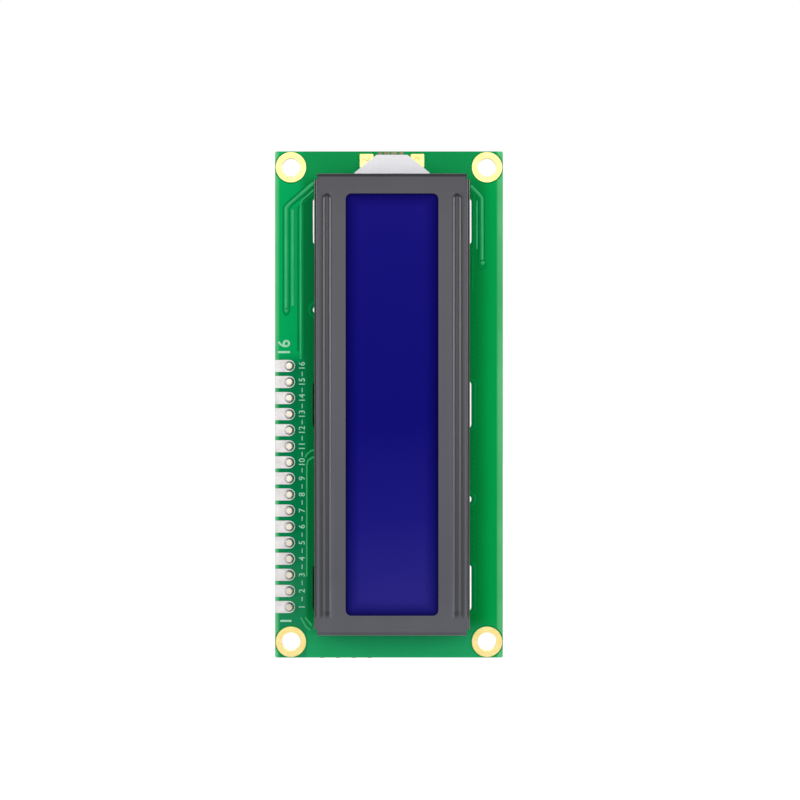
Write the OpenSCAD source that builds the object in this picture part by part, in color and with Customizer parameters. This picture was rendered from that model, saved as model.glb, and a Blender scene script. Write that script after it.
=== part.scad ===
// Character display module, 16 by 2, with a serial adapter board soldered behind it.
// X runs across the boards, Y from the display face to the adapter, Z along the boards.
// The origin is on the display board's front face, midway between its four mounting holes.

/* [Display board] */
// Thickness of the display board
board_t = 1.6; // [1.2:0.1:2]
// Distance between the mounting holes across the board
mount_w = 31; // [30.6:0.1:31.4]
// Distance between the mounting holes along the board
mount_l = 75; // [74.6:0.1:75.4]
// Distance from each mounting hole to the board's edges
mount_in = 2.5; // [2.3:0.1:2.7]
// Diameter of the mounting holes
mount_d = 3; // [2.5:0.1:3.4]
// Diameter of the two locating holes beside the bezel
locator_d = 1.3; // [1:0.1:1.5]
// Distance of each locating hole from the middle, along the board
locator_z = 15; // [13:0.5:17]
// Diameter of the two spare plated holes near the top edge
spare_d = 1; // [0.8:0.1:1.1]
// Distance of the spare plated holes from the board's top edge
spare_in = 3.9; // [3.6:0.1:4.4]

/* [Bezel] */
// Width of the bezel
bezel_w = 24.2; // [23.8:0.1:24.6]
// Distance from the bezel's ends to the board's ends
bezel_end = 4.1; // [3.9:0.1:4.6]
// Thickness of the bezel's sheet
sheet_t = 0.4; // [0.3:0.05:0.5]
// Shift of the bezel from the board's middle line, away from the header
bezel_x = 0.5; // [0:0.1:0.8]
// Outer radius where the bezel's sheet is folded
fold_r = 0.7; // [0.5:0.05:0.8]
// Width of the relief cut out of each of the bezel's corners, where its walls are folded
relief_w = 0.5; // [0.45:0.05:0.65]
// Length of the corner relief
relief_l = 1; // [0.9:0.05:1.2]
// Width of the window
window_w = 14.4; // [13.8:0.1:15]
// Distance from the window's ends to the bezel's ends
window_end = 3.15; // [2.9:0.05:3.4]
// Radius of the window's corners
window_r = 0.9; // [0.5:0.1:1.5]
// Distance from each embossed bead's middle line to the bezel's side
bead_in = 2; // [1.8:0.05:2.2]
// Width of an embossed bead
bead_w = 1.6; // [1.3:0.1:1.8]
// Height of an embossed bead over the bezel's face
bead_rise = 0.3; // [0.2:0.05:0.4]
// Width of a fixing tab
tab_w = 6.6; // [6:0.1:7]
// Reach of a fixing tab behind the board
tab_reach = 1.2; // [0.8:0.1:1.6]
// Twist of a fixing tab's bent half, in degrees
tab_twist = 44; // [35:1:50]
// Distance from the outer fixing tabs' middle to the bezel's ends
tab_in = 6.9; // [6.5:0.1:7.3]
// Room round a fixing tab in its slot
tab_room = 0.45; // [0.35:0.05:0.55]

/* [Display cell] */
// Thickness of each glass plate
glass_t = 1.1; // [0.9:0.05:1.2]
// Thickness of each polarizer
polarizer_t = 0.2; // [0.15:0.05:0.3]
// Thickness of the sealed gap between the glass plates
cell_t = 0.1; // [0.08:0.01:0.15]
// Room between the front glass and the bezel's side walls
glass_room = 0.3; // [0.2:0.05:0.4]
// Room between the front glass and the bezel's corner reliefs, along the board
relief_room = 0.1; // [0.05:0.05:0.2]
// Width of the seal round the liquid crystal
seal_w = 1; // [0.8:0.1:1.3]
// Margin of a polarizer inside the rear glass
polarizer_in = 0.5; // [0.3:0.1:0.8]
// Width of an elastomer strip
strip_w = 1.8; // [1.6:0.1:1.9]
// Room on each side of an elastomer strip
strip_room = 0.3; // [0.2:0.05:0.4]
// Distance from an elastomer strip's ends to the front glass's ends
strip_end = 3.9; // [3:0.1:5]

/* [Backlight] */
// Thickness of the backlight frame's floor
floor_t = 0.7; // [0.5:0.1:0.8]
// Thickness of the backlight frame's walls
frame_wall = 1; // [0.8:0.1:1.2]
// Thickness of the reflector film
reflector_t = 0.1; // [0.08:0.01:0.15]
// Thickness of the light guide
guide_t = 2.9; // [2.6:0.1:3.2]
// Thickness of the diffuser film
diffuser_t = 0.2; // [0.15:0.05:0.3]
// Room round the light guide in its frame
guide_room = 0.1; // [0.05:0.05:0.2]
// Height of the lamp housing over the board
funnel_h = 2.6; // [2.4:0.1:2.8]
// Thickness of the lamp housing's roof
funnel_roof = 0.5; // [0.4:0.05:0.6]
// Width of the lamp housing where it leaves the bezel
funnel_root_w = 11.8; // [11:0.1:12.4]
// Width of the lamp housing at its tip
funnel_tip_w = 4.8; // [4.7:0.1:5.4]
// Distance from the lamp housing's tip to the board's top edge
funnel_tip_in = 0.8; // [0.6:0.1:1]
// Length of the lamp housing's straight part outside the bezel
funnel_straight = 0.5; // [0.4:0.1:0.9]
// Width of the lamp
lamp_w = 3.4; // [3.2:0.1:3.5]
// Depth of the lamp along the board
lamp_l = 1; // [0.9:0.05:1.1]
// Height of the lamp
lamp_h = 1.1; // [1:0.05:1.15]
// Distance between the lamp's two leads
lamp_pitch = 2.6; // [2.4:0.1:2.8]
// Thickness of a lamp lead
lamp_lead_t = 0.4; // [0.3:0.05:0.45]

/* [Chips under resin] */
// Diameter of the controller's resin cap
controller_d = 13.6; // [13:0.1:14]
// Diameter of the driver's resin cap
driver_d = 10.8; // [10.4:0.1:11]
// Height of a resin cap
cap_h = 1.3; // [1:0.05:1.5]
// Distance of the controller's cap from the middle, towards the bottom edge
controller_z = 12.6; // [12.4:0.1:13]
// Distance of the driver's cap from the middle, towards the top edge
driver_z = 13.3; // [13:0.1:13.8]
// Shift of the controller's cap from the bezel's middle line, towards the header
controller_x = 0.2; // [0:0.1:0.4]
// Shift of the driver's cap from the bezel's middle line, towards the header
driver_x = 0.85; // [0.5:0.05:1]

/* [Header row] */
// Pitch of every pin row
pitch = 2.54; // [2.5:0.01:2.56]
// Count of pins in the header row
row_count = 16; // [16:1:16]
// Distance of the header row from the board's side edge
row_in = 2.25; // [2.2:0.05:2.4]
// Distance of the first pin from the board's bottom edge
row_start = 8; // [7.6:0.1:8.2]
// Width of a square pin
pin_w = 0.64; // [0.6:0.02:0.66]
// Diameter of a plated pin hole
pin_hole_d = 1; // [0.96:0.02:1.1]
// Reach of the header pins in front of the display board
pin_front = 1.3; // [1:0.1:1.6]
// Reach of the header pins behind the adapter
pin_back = 1.3; // [1:0.1:1.6]
// Height of the header's plastic spacer
spacer_h = 2.54; // [2.5:0.02:2.8]
// Radius of a soldered joint at its pad
joint_r = 0.82; // [0.75:0.01:0.9]
// Height of a soldered joint
joint_h = 0.85; // [0.7:0.05:0.95]

/* [Adapter] */
// Width of the adapter board
adapter_w = 18.9; // [18.6:0.1:19.2]
// Distance from the outer header pins to the adapter's ends
adapter_end = 1.95; // [1.8:0.05:2.2]
// Thickness of the adapter board
adapter_t = 1.6; // [1.4:0.1:1.8]
// Distance of the header row from the adapter's side edge
adapter_in = 1.1; // [1:0.05:1.2]
// Gaps along the adapter, which share out its free room: below and above the trimmer, above the chip,
// between the four small parts, and below the jumper header
adapter_gaps = [4.4, 3.1, 2.3, 2.5, 0.9];

/* [Trimmer] */
// Width of the trimmer's housing
trimmer_w = 7; // [6.8:0.1:7.2]
// Length of the trimmer's housing
trimmer_l = 7.2; // [7:0.1:7.4]
// Height of the trimmer's housing
trimmer_h = 4.8; // [4.6:0.1:5.2]
// Height of the trimmer's feet
trimmer_foot = 0.3; // [0.2:0.05:0.4]
// Distance of the trimmer from the adapter's left edge
trimmer_x = 9.3; // [9.1:0.1:9.5]
// Diameter of the rotor's head
rotor_d = 2.9; // [2.6:0.1:3.2]
// Diameter of the rotor's collar
collar_d = 5; // [4.6:0.1:5.2]
// Thickness of the rotor's collar
collar_t = 0.8; // [0.6:0.1:1]
// Width of the rotor's cross slot
slot_w = 0.55; // [0.45:0.05:0.65]
// Depth of the rotor's cross slot
slot_deep = 0.7; // [0.5:0.05:0.9]
// Running clearance between the rotor and the housing
rotor_fit = 0.05; // [0.03:0.01:0.08]
// Thickness of the trimmer's element
element_t = 1; // [0.8:0.1:1.2]
// Width of the trimmer's element
element_w = 5.8; // [5.6:0.1:6]
// Thickness of the trimmer's wiper
wiper_t = 0.3; // [0.2:0.05:0.35]
// Width of a trimmer lead
trimmer_lead_w = 0.5; // [0.45:0.05:0.6]

/* [Expander chip] */
// Width of the chip's moulded body
chip_w = 10.3; // [10.2:0.05:10.5]
// Length of the chip's moulded body, across its leads
chip_l = 7.5; // [7.4:0.05:7.6]
// Height of the chip's moulded body
chip_h = 2.3; // [2.1:0.05:2.4]
// Gap under the chip's body
chip_gap = 0.15; // [0.1:0.05:0.25]
// Pitch of the chip's leads
lead_pitch = 1.27; // [1.25:0.01:1.28]
// Width of a lead
lead_w = 0.42; // [0.35:0.01:0.48]
// Thickness of a lead
lead_t = 0.25; // [0.2:0.01:0.3]
// Span of the leads from toe to toe
lead_span = 10.4; // [10.2:0.1:10.8]
// Distance of the chip from the adapter's left edge
chip_x = 9.6; // [9.4:0.1:9.8]

/* [Small parts] */
// Length of a small chip part
small_l = 2; // [1.9:0.05:2.1]
// Width of a small chip part
small_w = 1.25; // [1.1:0.05:1.3]
// Height of a small chip part
small_h = 0.5; // [0.4:0.05:0.6]
// Length of a small part's metal end
small_end = 0.4; // [0.3:0.05:0.45]
// Length of the large resistor on the display board
large_l = 3.2; // [3:0.1:3.3]
// Width of the large resistor on the display board
large_w = 1.6; // [1.5:0.05:1.7]
// Length of the transistor's body
transistor_l = 2.9; // [2.8:0.1:3.1]
// Width of the transistor's body
transistor_w = 1.3; // [1.2:0.1:1.4]
// Height of the transistor's body
transistor_h = 1; // [0.9:0.05:1.1]
// Length of the power lamp
power_l = 2; // [1.8:0.1:2.1]
// Distance from the chip to the resistors beside it
column_gap = 0.7; // [0.5:0.05:0.9]
// Distance from the chip's toes to the first resistor beside it
column_start = 1.5; // [1.3:0.1:1.7]
// Distance between neighbouring resistors beside the chip
column_pitch = 4.4; // [4.2:0.1:4.6]
// Distance of the four small parts from the adapter's left edge
array_x = 11.8; // [11.6:0.1:12]
// Distance of the transistor from the adapter's left edge
transistor_x = 7.8; // [7.6:0.1:8]
// Gap between the transistor and the jumper header
transistor_gap = 0.65; // [0.5:0.05:0.8]
// Distance of the power lamp from the adapter's left edge
power_x = 7; // [6.8:0.1:7.2]
// Gap between the transistor and the power lamp's resistor
power_gap = 0.9; // [0.8:0.05:1]
// Distance between the power lamp and its resistor
power_pitch = 1.8; // [1.7:0.05:1.9]
// Distance of the first board resistor from the bezel's middle line
box_x = 1.25; // [1.1:0.05:1.4]
// Distance between neighbouring board resistors
box_pitch = 2.35; // [2.2:0.05:2.5]
// Distance from the controller's cap to the board resistors in the row
box_gap = 10.5; // [10:0.1:11]
// Distance from the controller's cap to the single board resistor
side_gap = 1.9; // [1.6:0.1:2.2]
// Shift of the single board resistor from the row's first one
side_x = 2.1; // [1.9:0.1:2.3]
// Distance of the large resistor from the board's left edge
large_in = 5.4; // [5:0.1:5.8]
// Distance from the driver's cap to the large resistor's middle, along the board
large_gap = 1.4; // [1.2:0.1:1.8]

/* [Angled headers] */
// Count of pins in the serial header
serial_count = 4; // [4:1:4]
// Distance of the serial header from the adapter's bottom edge
serial_in = 0.1; // [0.1:0.05:0.3]
// Length of a serial pin outside its plastic
serial_reach = 7; // [6.5:0.1:7.6]
// Distance of the serial header from the adapter's left edge
serial_x = 9.9; // [9.7:0.1:10.1]
// Width of an angled header's plastic along its pins
angled_l = 2.3; // [2.2:0.05:2.5]
// Height of an angled header's plastic
angled_h = 2.5; // [2.4:0.05:2.6]
// Distance of the jumper header from the adapter's left edge
jumper_x = 8.3; // [8.1:0.1:8.5]
// Distance from the jumper header's plastic to the adapter's top edge
jumper_in = 1.5; // [1.3:0.1:1.7]
// Length of a jumper pin outside its plastic
jumper_reach = 5.6; // [5.2:0.1:5.8]

/* [Jumper cap] */
// Width of the jumper cap
jcap_w = 5; // [4.9:0.05:5.05]
// Length of the jumper cap
jcap_l = 6.2; // [6:0.1:6.4]
// Length of the contact's sleeves
sleeve_l = 3.6; // [3.2:0.1:3.8]
// Distance from the contact's web to the cap's outer end
web_in = 0.55; // [0.5:0.05:0.8]
// Height of the jumper cap
jcap_h = 2.5; // [2.45:0.05:2.6]
// Gap between the header's plastic and the cap
jcap_gap = 1.3; // [1.1:0.1:1.4]
// Width of the notch in the cap's outer end
notch_w = 1.5; // [1.3:0.05:1.6]
// Depth of the notch in the cap's outer end
notch_l = 2; // [1.8:0.1:2.2]
// Thickness of the contact's sheet
contact_t = 0.25; // [0.2:0.01:0.3]
// Running clearance between a jumper pin and the contact
contact_fit = 0.05; // [0.03:0.01:0.08]

/* [Hidden] */
$fn = 40;
cut = 1;

// Front faces of the stacked layers, from the board out to the bezel's face
floor_y = -floor_t;
reflector_y = floor_y - reflector_t;
guide_y = reflector_y - guide_t;
diffuser_y = guide_y - diffuser_t;
rear_polarizer_y = diffuser_y - polarizer_t;
rear_glass_y = rear_polarizer_y - glass_t;
cell_y = rear_glass_y - cell_t;
front_glass_y = cell_y - glass_t;
front_polarizer_y = front_glass_y - polarizer_t;
bezel_y = front_polarizer_y - sheet_t;

// Sizes that follow from the mounting holes, the bezel and the glass
board_w = mount_w + 2 * mount_in;
board_l = mount_l + 2 * mount_in;
bezel_l = board_l - 2 * bezel_end;
window_l = bezel_l - 2 * window_end;
front_glass_w = bezel_w - 2 * (sheet_t + glass_room);
front_glass_l = bezel_l - 2 * (relief_l + relief_room);
rear_glass_w = front_glass_w - 2 * (strip_w + 2 * strip_room);
strip_l = front_glass_l - 2 * strip_end;
polarizer_w = rear_glass_w - 2 * polarizer_in;
polarizer_l = front_glass_l - 2 * polarizer_in;
strip_x = (front_glass_w + rear_glass_w) / 4;
frame_w = rear_glass_w - 2 * polarizer_in + 2 * guide_room;
frame_l = front_glass_l - 2 * guide_room;
pocket_w = frame_w - 2 * frame_wall;
pocket_l = frame_l - 2 * frame_wall;

// Bezel fixings
bead_x = bezel_w / 2 - bead_in;
tab_pitch = bezel_l / 2 - tab_in;
bead_r = (pow(bead_w / 2, 2) + pow(bead_rise, 2)) / (2 * bead_rise);
wall_x = (bezel_w - sheet_t) / 2;
slot_room_w = sheet_t + 2 * tab_room;
slot_room_l = tab_w + 2 * tab_room;

// Lamp housing
funnel_root_z = bezel_l / 2 + funnel_straight;
funnel_tip_z = board_l / 2 - funnel_tip_in;
lamp_wall = frame_wall / 2;
lamp_z = funnel_tip_z - lamp_wall - lamp_l / 2;
lamp_hole_d = 2 * lamp_lead_t;
lamp_tail = joint_h * 0.6;

// Header row and adapter
row_x = -board_w / 2 + row_in;
row_z = -board_l / 2 + row_start;
row_mid = row_z + (row_count - 1) * pitch / 2;
adapter_front = board_t + spacer_h;
adapter_back = adapter_front + adapter_t;
adapter_l = (row_count - 1) * pitch + 2 * adapter_end;
adapter_left = row_x - adapter_in;
adapter_bottom = row_mid - adapter_l / 2;
adapter_top = row_mid + adapter_l / 2;
tail = joint_h + 0.2;

// Places of the parts on the adapter, upwards from the serial header and down from the jumper header
array_count = 4;
gap_scale = (adapter_l - serial_in - 2 * angled_l - trimmer_l - lead_span - array_count * small_w - jumper_in)
    / (adapter_gaps * [1, 1, 1, 1, 1]);
trimmer_z = adapter_bottom + serial_in + angled_l + adapter_gaps[0] * gap_scale + trimmer_l / 2;
chip_z = trimmer_z + trimmer_l / 2 + adapter_gaps[1] * gap_scale + lead_span / 2;
array_pitch = small_w + adapter_gaps[3] * gap_scale / (array_count - 1);
trimmer_at = [adapter_left + trimmer_x, trimmer_z];
chip_at = [adapter_left + chip_x, chip_z];
column_at = [
    chip_at[0] + chip_w / 2 + column_gap + small_w / 2,
    chip_z - lead_span / 2 + column_start + small_l / 2
];
array_at = [adapter_left + array_x, chip_z + lead_span / 2 + adapter_gaps[2] * gap_scale + small_w / 2];
serial_at = [adapter_left + serial_x, adapter_bottom + serial_in];
jumper_at = [adapter_left + jumper_x, adapter_top - jumper_in];
transistor_at = [adapter_left + transistor_x, jumper_at[1] - angled_l - transistor_gap - transistor_l / 2];
power_at = [
    adapter_left + power_x,
    transistor_at[1] - transistor_l / 2 - power_gap - small_w / 2 - power_pitch
];

// Trimmer levels above the adapter
element_y = trimmer_foot + 0.2;
wiper_y = element_y + element_t + rotor_fit;
collar_y = wiper_y + wiper_t;
rotor_top = trimmer_foot + trimmer_h - 0.1;
trimmer_leads_at = [[-pitch, pitch / 2], [0, -pitch / 2], [pitch, pitch / 2]];

// Angled headers and the jumper cap
angled_pin_y = angled_h / 2;
serial_pins_x = [for (i = [0:serial_count - 1]) (i - (serial_count - 1) / 2) * pitch];
jumper_pins_x = [-pitch / 2, pitch / 2];
jcap_z = jcap_gap;
sleeve_w = pin_w + 2 * (contact_fit + contact_t);
web_z = jcap_l - web_in - contact_t;

// Places of the resistors on the display board: three in a row, a single one, and the large one
controller_edge = controller_z + controller_d / 2;
row_box_at = [bezel_x + box_x, -controller_edge - box_gap - small_l / 2];
board_resistors_at = [
    for (i = [0:2]) [row_box_at[0] + i * box_pitch, row_box_at[1]],
    [row_box_at[0] + side_x, -controller_edge - side_gap - small_l / 2]
];
large_at = [-board_w / 2 + large_in, driver_z + driver_d / 2 + large_gap];

// A layer between two levels of Y, drawn in X and Z
module layer(y0, y1) {
    translate([0, y1, 0]) rotate([90, 0, 0]) linear_extrude(y1 - y0) children();
}

// A rectangle with round corners
module round_rect(w, l, r) {
    square([w - 2 * r, l], center = true);
    square([w, l - 2 * r], center = true);
    for (x = [-1, 1], z = [-1, 1])
        translate([x * (w / 2 - r), z * (l / 2 - r)]) circle(r);
}

// A slot with round ends along Z
module slot(w, l) {
    square([w, l - w], center = true);
    for (z = [-1, 1]) translate([0, z * (l - w) / 2]) circle(d = w);
}

// A block with round upright edges and eased edges on the face that points away from Y = 0
module eased_block(w, l, h, r_side, r_top) {
    intersection() {
        layer(0, h) round_rect(w, l, r_side);
        linear_extrude(l + cut, center = true) round_rect(w, 2 * h, r_top);
        rotate([0, 90, 0]) linear_extrude(w + cut, center = true) round_rect(l, 2 * h, r_top);
    }
}

// A bar along Z with spherical ends
module capsule(r, l) {
    cylinder(r = r, h = l, center = true);
    for (z = [-1, 1]) translate([0, 0, z * l / 2]) sphere(r);
}

// A concave solder joint round a square pin, standing on Y = 0
module solder_joint(r, h, pin) {
    top_r = pin * 0.75;
    profile = [for (i = [0:5]) [top_r + (r - top_r) * pow(1 - i / 5, 2), h * i / 5]];
    difference() {
        rotate([-90, 0, 0]) rotate_extrude($fn = 24) polygon(concat([[0, 0]], profile, [[0, h]]));
        translate([-pin / 2, -cut, -pin / 2]) cube([pin, h + 2 * cut, pin]);
    }
}

// Places children at each pin of the header row
module along_row() {
    for (i = [0:row_count - 1]) translate([row_x, 0, row_z + i * pitch]) children();
}

// One pitch of header plastic, drawn in X and Z, with its corners cut
module header_cell(w) {
    chamfer = pitch / 5;
    polygon([
        [-w / 2, -pitch / 2 + chamfer], [-w / 2 + chamfer, -pitch / 2],
        [w / 2 - chamfer, -pitch / 2], [w / 2, -pitch / 2 + chamfer],
        [w / 2, pitch / 2 - chamfer], [w / 2 - chamfer, pitch / 2],
        [-w / 2 + chamfer, pitch / 2], [-w / 2, pitch / 2 - chamfer]
    ]);
}

// The body of a small two-ended part lying along Z
module small_body(l, w, h, end) {
    translate([-w / 2, 0, -l / 2 + end]) cube([w, h, l - 2 * end]);
}

// The two metal ends of a small part lying along Z
module small_ends(l, w, h, end) {
    for (z = [-l / 2, l / 2 - end]) translate([-w / 2, 0, z]) cube([w, h, end]);
}

// ---- Display board and bezel

module display_board() {
    color([0.0, 0.51, 0.25]) difference() {
        layer(0, board_t) round_rect(board_w, board_l, 0.3);
        for (x = [-1, 1], z = [-1, 1])
            translate([x * mount_w / 2, -cut, z * mount_l / 2])
                rotate([-90, 0, 0]) cylinder(d = mount_d, h = board_t + 2 * cut);
        along_row() rotate([-90, 0, 0])
            translate([0, 0, -cut]) cylinder(d = pin_hole_d, h = board_t + 2 * cut, $fn = 24);
        layer(-cut, board_t + cut) {
            for (x = [-1, 1], z = [-1:1])
                translate([bezel_x + x * wall_x, z * tab_pitch]) slot(slot_room_w, slot_room_l);
            for (s = [-1, 1])
                translate([bezel_x + s * wall_x, -s * locator_z]) circle(d = locator_d);
            for (x = [-1, 1])
                translate([bezel_x + x * pitch / 2, board_l / 2 - spare_in]) circle(d = spare_d);
            for (x = [-1, 1])
                translate([bezel_x + x * lamp_pitch / 2, lamp_z]) circle(d = lamp_hole_d);
        }
    }
}

// The tab's straight half passes through its slot; the other half is twisted over the board
module bezel_tab() {
    translate([-sheet_t / 2, -sheet_t, -tab_w / 2]) cube([sheet_t, board_t + sheet_t, tab_w]);
    translate([-sheet_t / 2, 0, 0]) cube([sheet_t, board_t + tab_reach, tab_w / 2]);
    translate([0, board_t, 0]) rotate([0, tab_twist, 0])
        translate([-sheet_t / 2, 0, -tab_w / 2]) cube([sheet_t, tab_reach, tab_w / 2]);
}

// A block with its front edges rounded as a folded sheet's are
module folded_block(w, l, h, r) {
    intersection() {
        linear_extrude(l, center = true) round_rect(w, 2 * h, r);
        rotate([0, 90, 0]) linear_extrude(w, center = true) round_rect(l, 2 * h, r);
        layer(-h, 0) square([w, l], center = true);
    }
}

module bead(r) {
    for (x = [-1, 1])
        translate([x * bead_x, bezel_y - bead_rise + bead_r, 0]) capsule(r, window_l - bead_w);
}

module bezel() {
    color([0.33, 0.33, 0.37]) translate([bezel_x, 0, 0]) {
        difference() {
            union() {
                folded_block(bezel_w, bezel_l, -bezel_y, fold_r);
                intersection() {
                    bead(bead_r);
                    layer(bezel_y - cut, bezel_y + sheet_t / 2) square([bezel_w, bezel_l], center = true);
                }
            }
            layer(front_polarizer_y, cut)
                square([bezel_w - 2 * sheet_t, bezel_l - 2 * sheet_t], center = true);
            for (x = [-1, 1], z = [-1, 1])
                layer(bezel_y - cut, cut) translate([x * bezel_w / 2, z * bezel_l / 2])
                    square(2 * [relief_w, relief_l], center = true);
            layer(bezel_y - cut, front_polarizer_y + cut) round_rect(window_w, window_l, window_r);
            bead(bead_r - sheet_t);
            translate([0, 0, bezel_l / 2 - sheet_t])
                layer(-funnel_h - guide_room, cut)
                    square([funnel_root_w + 4 * guide_room, 4 * sheet_t], center = true);
        }
        for (z = [-1:1]) {
            translate([wall_x, 0, z * tab_pitch]) bezel_tab();
            translate([-wall_x, 0, z * tab_pitch]) rotate([0, 180, 0]) bezel_tab();
        }
    }
}

// ---- Display cell

module cell_plate(y0, y1, w, l) {
    translate([bezel_x, 0, 0]) layer(y0, y1) square([w, l], center = true);
}

module front_polarizer() {
    color([0.12, 0.12, 0.4]) cell_plate(front_polarizer_y, front_glass_y, polarizer_w, polarizer_l);
}

module front_glass() {
    color([0.6, 0.7, 0.75]) cell_plate(front_glass_y, cell_y, front_glass_w, front_glass_l);
}

module cell_seal() {
    color([0.75, 0.75, 0.7]) difference() {
        cell_plate(cell_y, rear_glass_y, rear_glass_w, front_glass_l);
        cell_plate(cell_y - cut, rear_glass_y + cut, rear_glass_w - 2 * seal_w, front_glass_l - 2 * seal_w);
    }
}

module liquid_crystal() {
    color([0.1, 0.1, 0.5])
        cell_plate(cell_y, rear_glass_y, rear_glass_w - 2 * seal_w, front_glass_l - 2 * seal_w);
}

module rear_glass() {
    color([0.6, 0.7, 0.75]) cell_plate(rear_glass_y, rear_polarizer_y, rear_glass_w, front_glass_l);
}

module rear_polarizer() {
    color([0.15, 0.15, 0.45]) cell_plate(rear_polarizer_y, diffuser_y, polarizer_w, polarizer_l);
}

module elastomer() {
    color([0.8, 0.55, 0.6]) layer(cell_y, 0) square([strip_w, strip_l], center = true);
}

module left_elastomer() {
    translate([bezel_x - strip_x, 0, 0]) elastomer();
}

module right_elastomer() {
    translate([bezel_x + strip_x, 0, 0]) elastomer();
}

// ---- Backlight

// The lamp housing's outline, drawn in by a margin, from a level inside the frame to its tip
module funnel(margin, z0, z1) {
    slope = (funnel_root_w - funnel_tip_w) / 2 / (funnel_tip_z - funnel_root_z);
    root = funnel_root_w / 2 - margin;
    side = funnel_root_w / 2 - margin - slope * max(0, z1 - funnel_root_z);
    polygon([[-root, z0], [-root, funnel_root_z], [-side, z1], [side, z1], [root, funnel_root_z], [root, z0]]);
}

module diffuser_film() {
    color([0.93, 0.93, 0.95]) cell_plate(diffuser_y, guide_y, pocket_w, pocket_l);
}

module light_guide() {
    color([0.85, 0.9, 0.92]) {
        cell_plate(guide_y, reflector_y, pocket_w - 2 * guide_room, pocket_l - 2 * guide_room);
        translate([bezel_x, 0, 0]) layer(-funnel_h + funnel_roof + guide_room, reflector_y)
            funnel(frame_wall + guide_room, pocket_l / 2 - frame_wall, lamp_z - lamp_l / 2 - guide_room);
    }
}

module reflector_film() {
    color([0.96, 0.96, 0.96])
        cell_plate(reflector_y, floor_y, pocket_w - 2 * guide_room, pocket_l - 2 * guide_room);
}

module backlight_frame() {
    color([0.92, 0.92, 0.93]) translate([bezel_x, 0, 0]) difference() {
        union() {
            layer(diffuser_y, 0) square([frame_w, frame_l], center = true);
            layer(-funnel_h, 0) funnel(0, pocket_l / 2, funnel_tip_z);
        }
        layer(diffuser_y - cut, floor_y) square([pocket_w, pocket_l], center = true);
        layer(-funnel_h + funnel_roof, floor_y) {
            funnel(frame_wall, pocket_l / 2 - frame_wall, lamp_z - lamp_l / 2);
            translate([0, lamp_z]) square([lamp_w, lamp_l], center = true);
        }
        for (x = [-1, 1])
            translate([x * lamp_pitch / 2, floor_y - cut, lamp_z])
                rotate([-90, 0, 0]) cylinder(d = lamp_hole_d, h = floor_t + 2 * cut, $fn = 24);
    }
}

module backlight_lamp() {
    color([0.95, 0.9, 0.6]) translate([bezel_x, floor_y - lamp_h, lamp_z - lamp_l / 2])
        translate([-lamp_w / 2, 0, 0]) cube([lamp_w, lamp_h, lamp_l]);
}

module lamp_leads() {
    color([0.8, 0.8, 0.82]) for (x = [-1, 1])
        translate([bezel_x + x * lamp_pitch / 2 - lamp_lead_t / 2, floor_y, lamp_z - lamp_lead_t / 2])
            cube([lamp_lead_t, floor_t + board_t + lamp_tail, lamp_lead_t]);
}

module lamp_solder() {
    color([0.75, 0.76, 0.78]) for (x = [-1, 1])
        translate([bezel_x + x * lamp_pitch / 2, board_t, lamp_z])
            solder_joint(joint_r, lamp_tail, lamp_lead_t);
}

// ---- Parts on the display board

// A low resin cap with an uneven rim, made of a main dome and smaller ones near its edge
module resin_cap(d, lobes) {
    for (lobe = concat([[0, 0, 1]], lobes)) {
        base_r = d / 2 * lobe[2];
        rise = cap_h * lobe[2];
        dome_r = (pow(base_r, 2) + pow(rise, 2)) / (2 * rise);
        translate([lobe[0] * d, board_t, lobe[1] * d]) intersection() {
            translate([0, rise - dome_r, 0]) rotate([90, 0, 0]) sphere(dome_r, $fn = 150);
            layer(0, cap_h + cut) square(2 * d, center = true);
        }
    }
}

module controller_cap() {
    color([0.12, 0.12, 0.13]) translate([bezel_x - controller_x, 0, -controller_z])
        resin_cap(controller_d, [[0.1, -0.08, 0.82], [-0.06, 0.1, 0.84]]);
}

module driver_cap() {
    color([0.12, 0.12, 0.13]) translate([bezel_x - driver_x, 0, driver_z])
        resin_cap(driver_d, [[0.03, -0.07, 0.9], [-0.05, 0.05, 0.88]]);
}

module board_resistors() {
    color([0.1, 0.1, 0.1]) translate([0, board_t, 0]) {
        for (at = board_resistors_at)
            translate([at[0], 0, at[1]]) small_body(small_l, small_w, small_h, small_end);
        translate([large_at[0], 0, large_at[1]]) small_body(large_l, large_w, small_h, small_end);
    }
}

module board_resistor_ends() {
    color([0.8, 0.8, 0.8]) translate([0, board_t, 0]) {
        for (at = board_resistors_at)
            translate([at[0], 0, at[1]]) small_ends(small_l, small_w, small_h, small_end);
        translate([large_at[0], 0, large_at[1]]) small_ends(large_l, large_w, small_h, small_end);
    }
}

// ---- Header row between the boards

module header_pins() {
    color([0.85, 0.8, 0.6]) along_row()
        translate([-pin_w / 2, -pin_front, -pin_w / 2])
            cube([pin_w, pin_front + adapter_back + pin_back, pin_w]);
}

module header_spacer() {
    color([0.08, 0.08, 0.08]) difference() {
        along_row() layer(board_t, adapter_front) header_cell(pitch);
        along_row() translate([-pin_w / 2, 0, -pin_w / 2])
            cube([pin_w, adapter_front + cut, pin_w]);
    }
}

module display_solder() {
    color([0.75, 0.76, 0.78]) along_row() mirror([0, 1, 0]) solder_joint(joint_r, joint_h, pin_w);
}

module adapter_solder() {
    color([0.75, 0.76, 0.78]) along_row()
        translate([0, adapter_back, 0]) solder_joint(joint_r, joint_h, pin_w);
}

// ---- Adapter board

// Places children at each through pin of the adapter's own parts
module at_through_pins() {
    for (x = serial_pins_x) translate([serial_at[0] + x, 0, serial_at[1] + angled_l / 2]) children();
    for (x = jumper_pins_x) translate([jumper_at[0] + x, 0, jumper_at[1] - angled_l / 2]) children();
}

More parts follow.
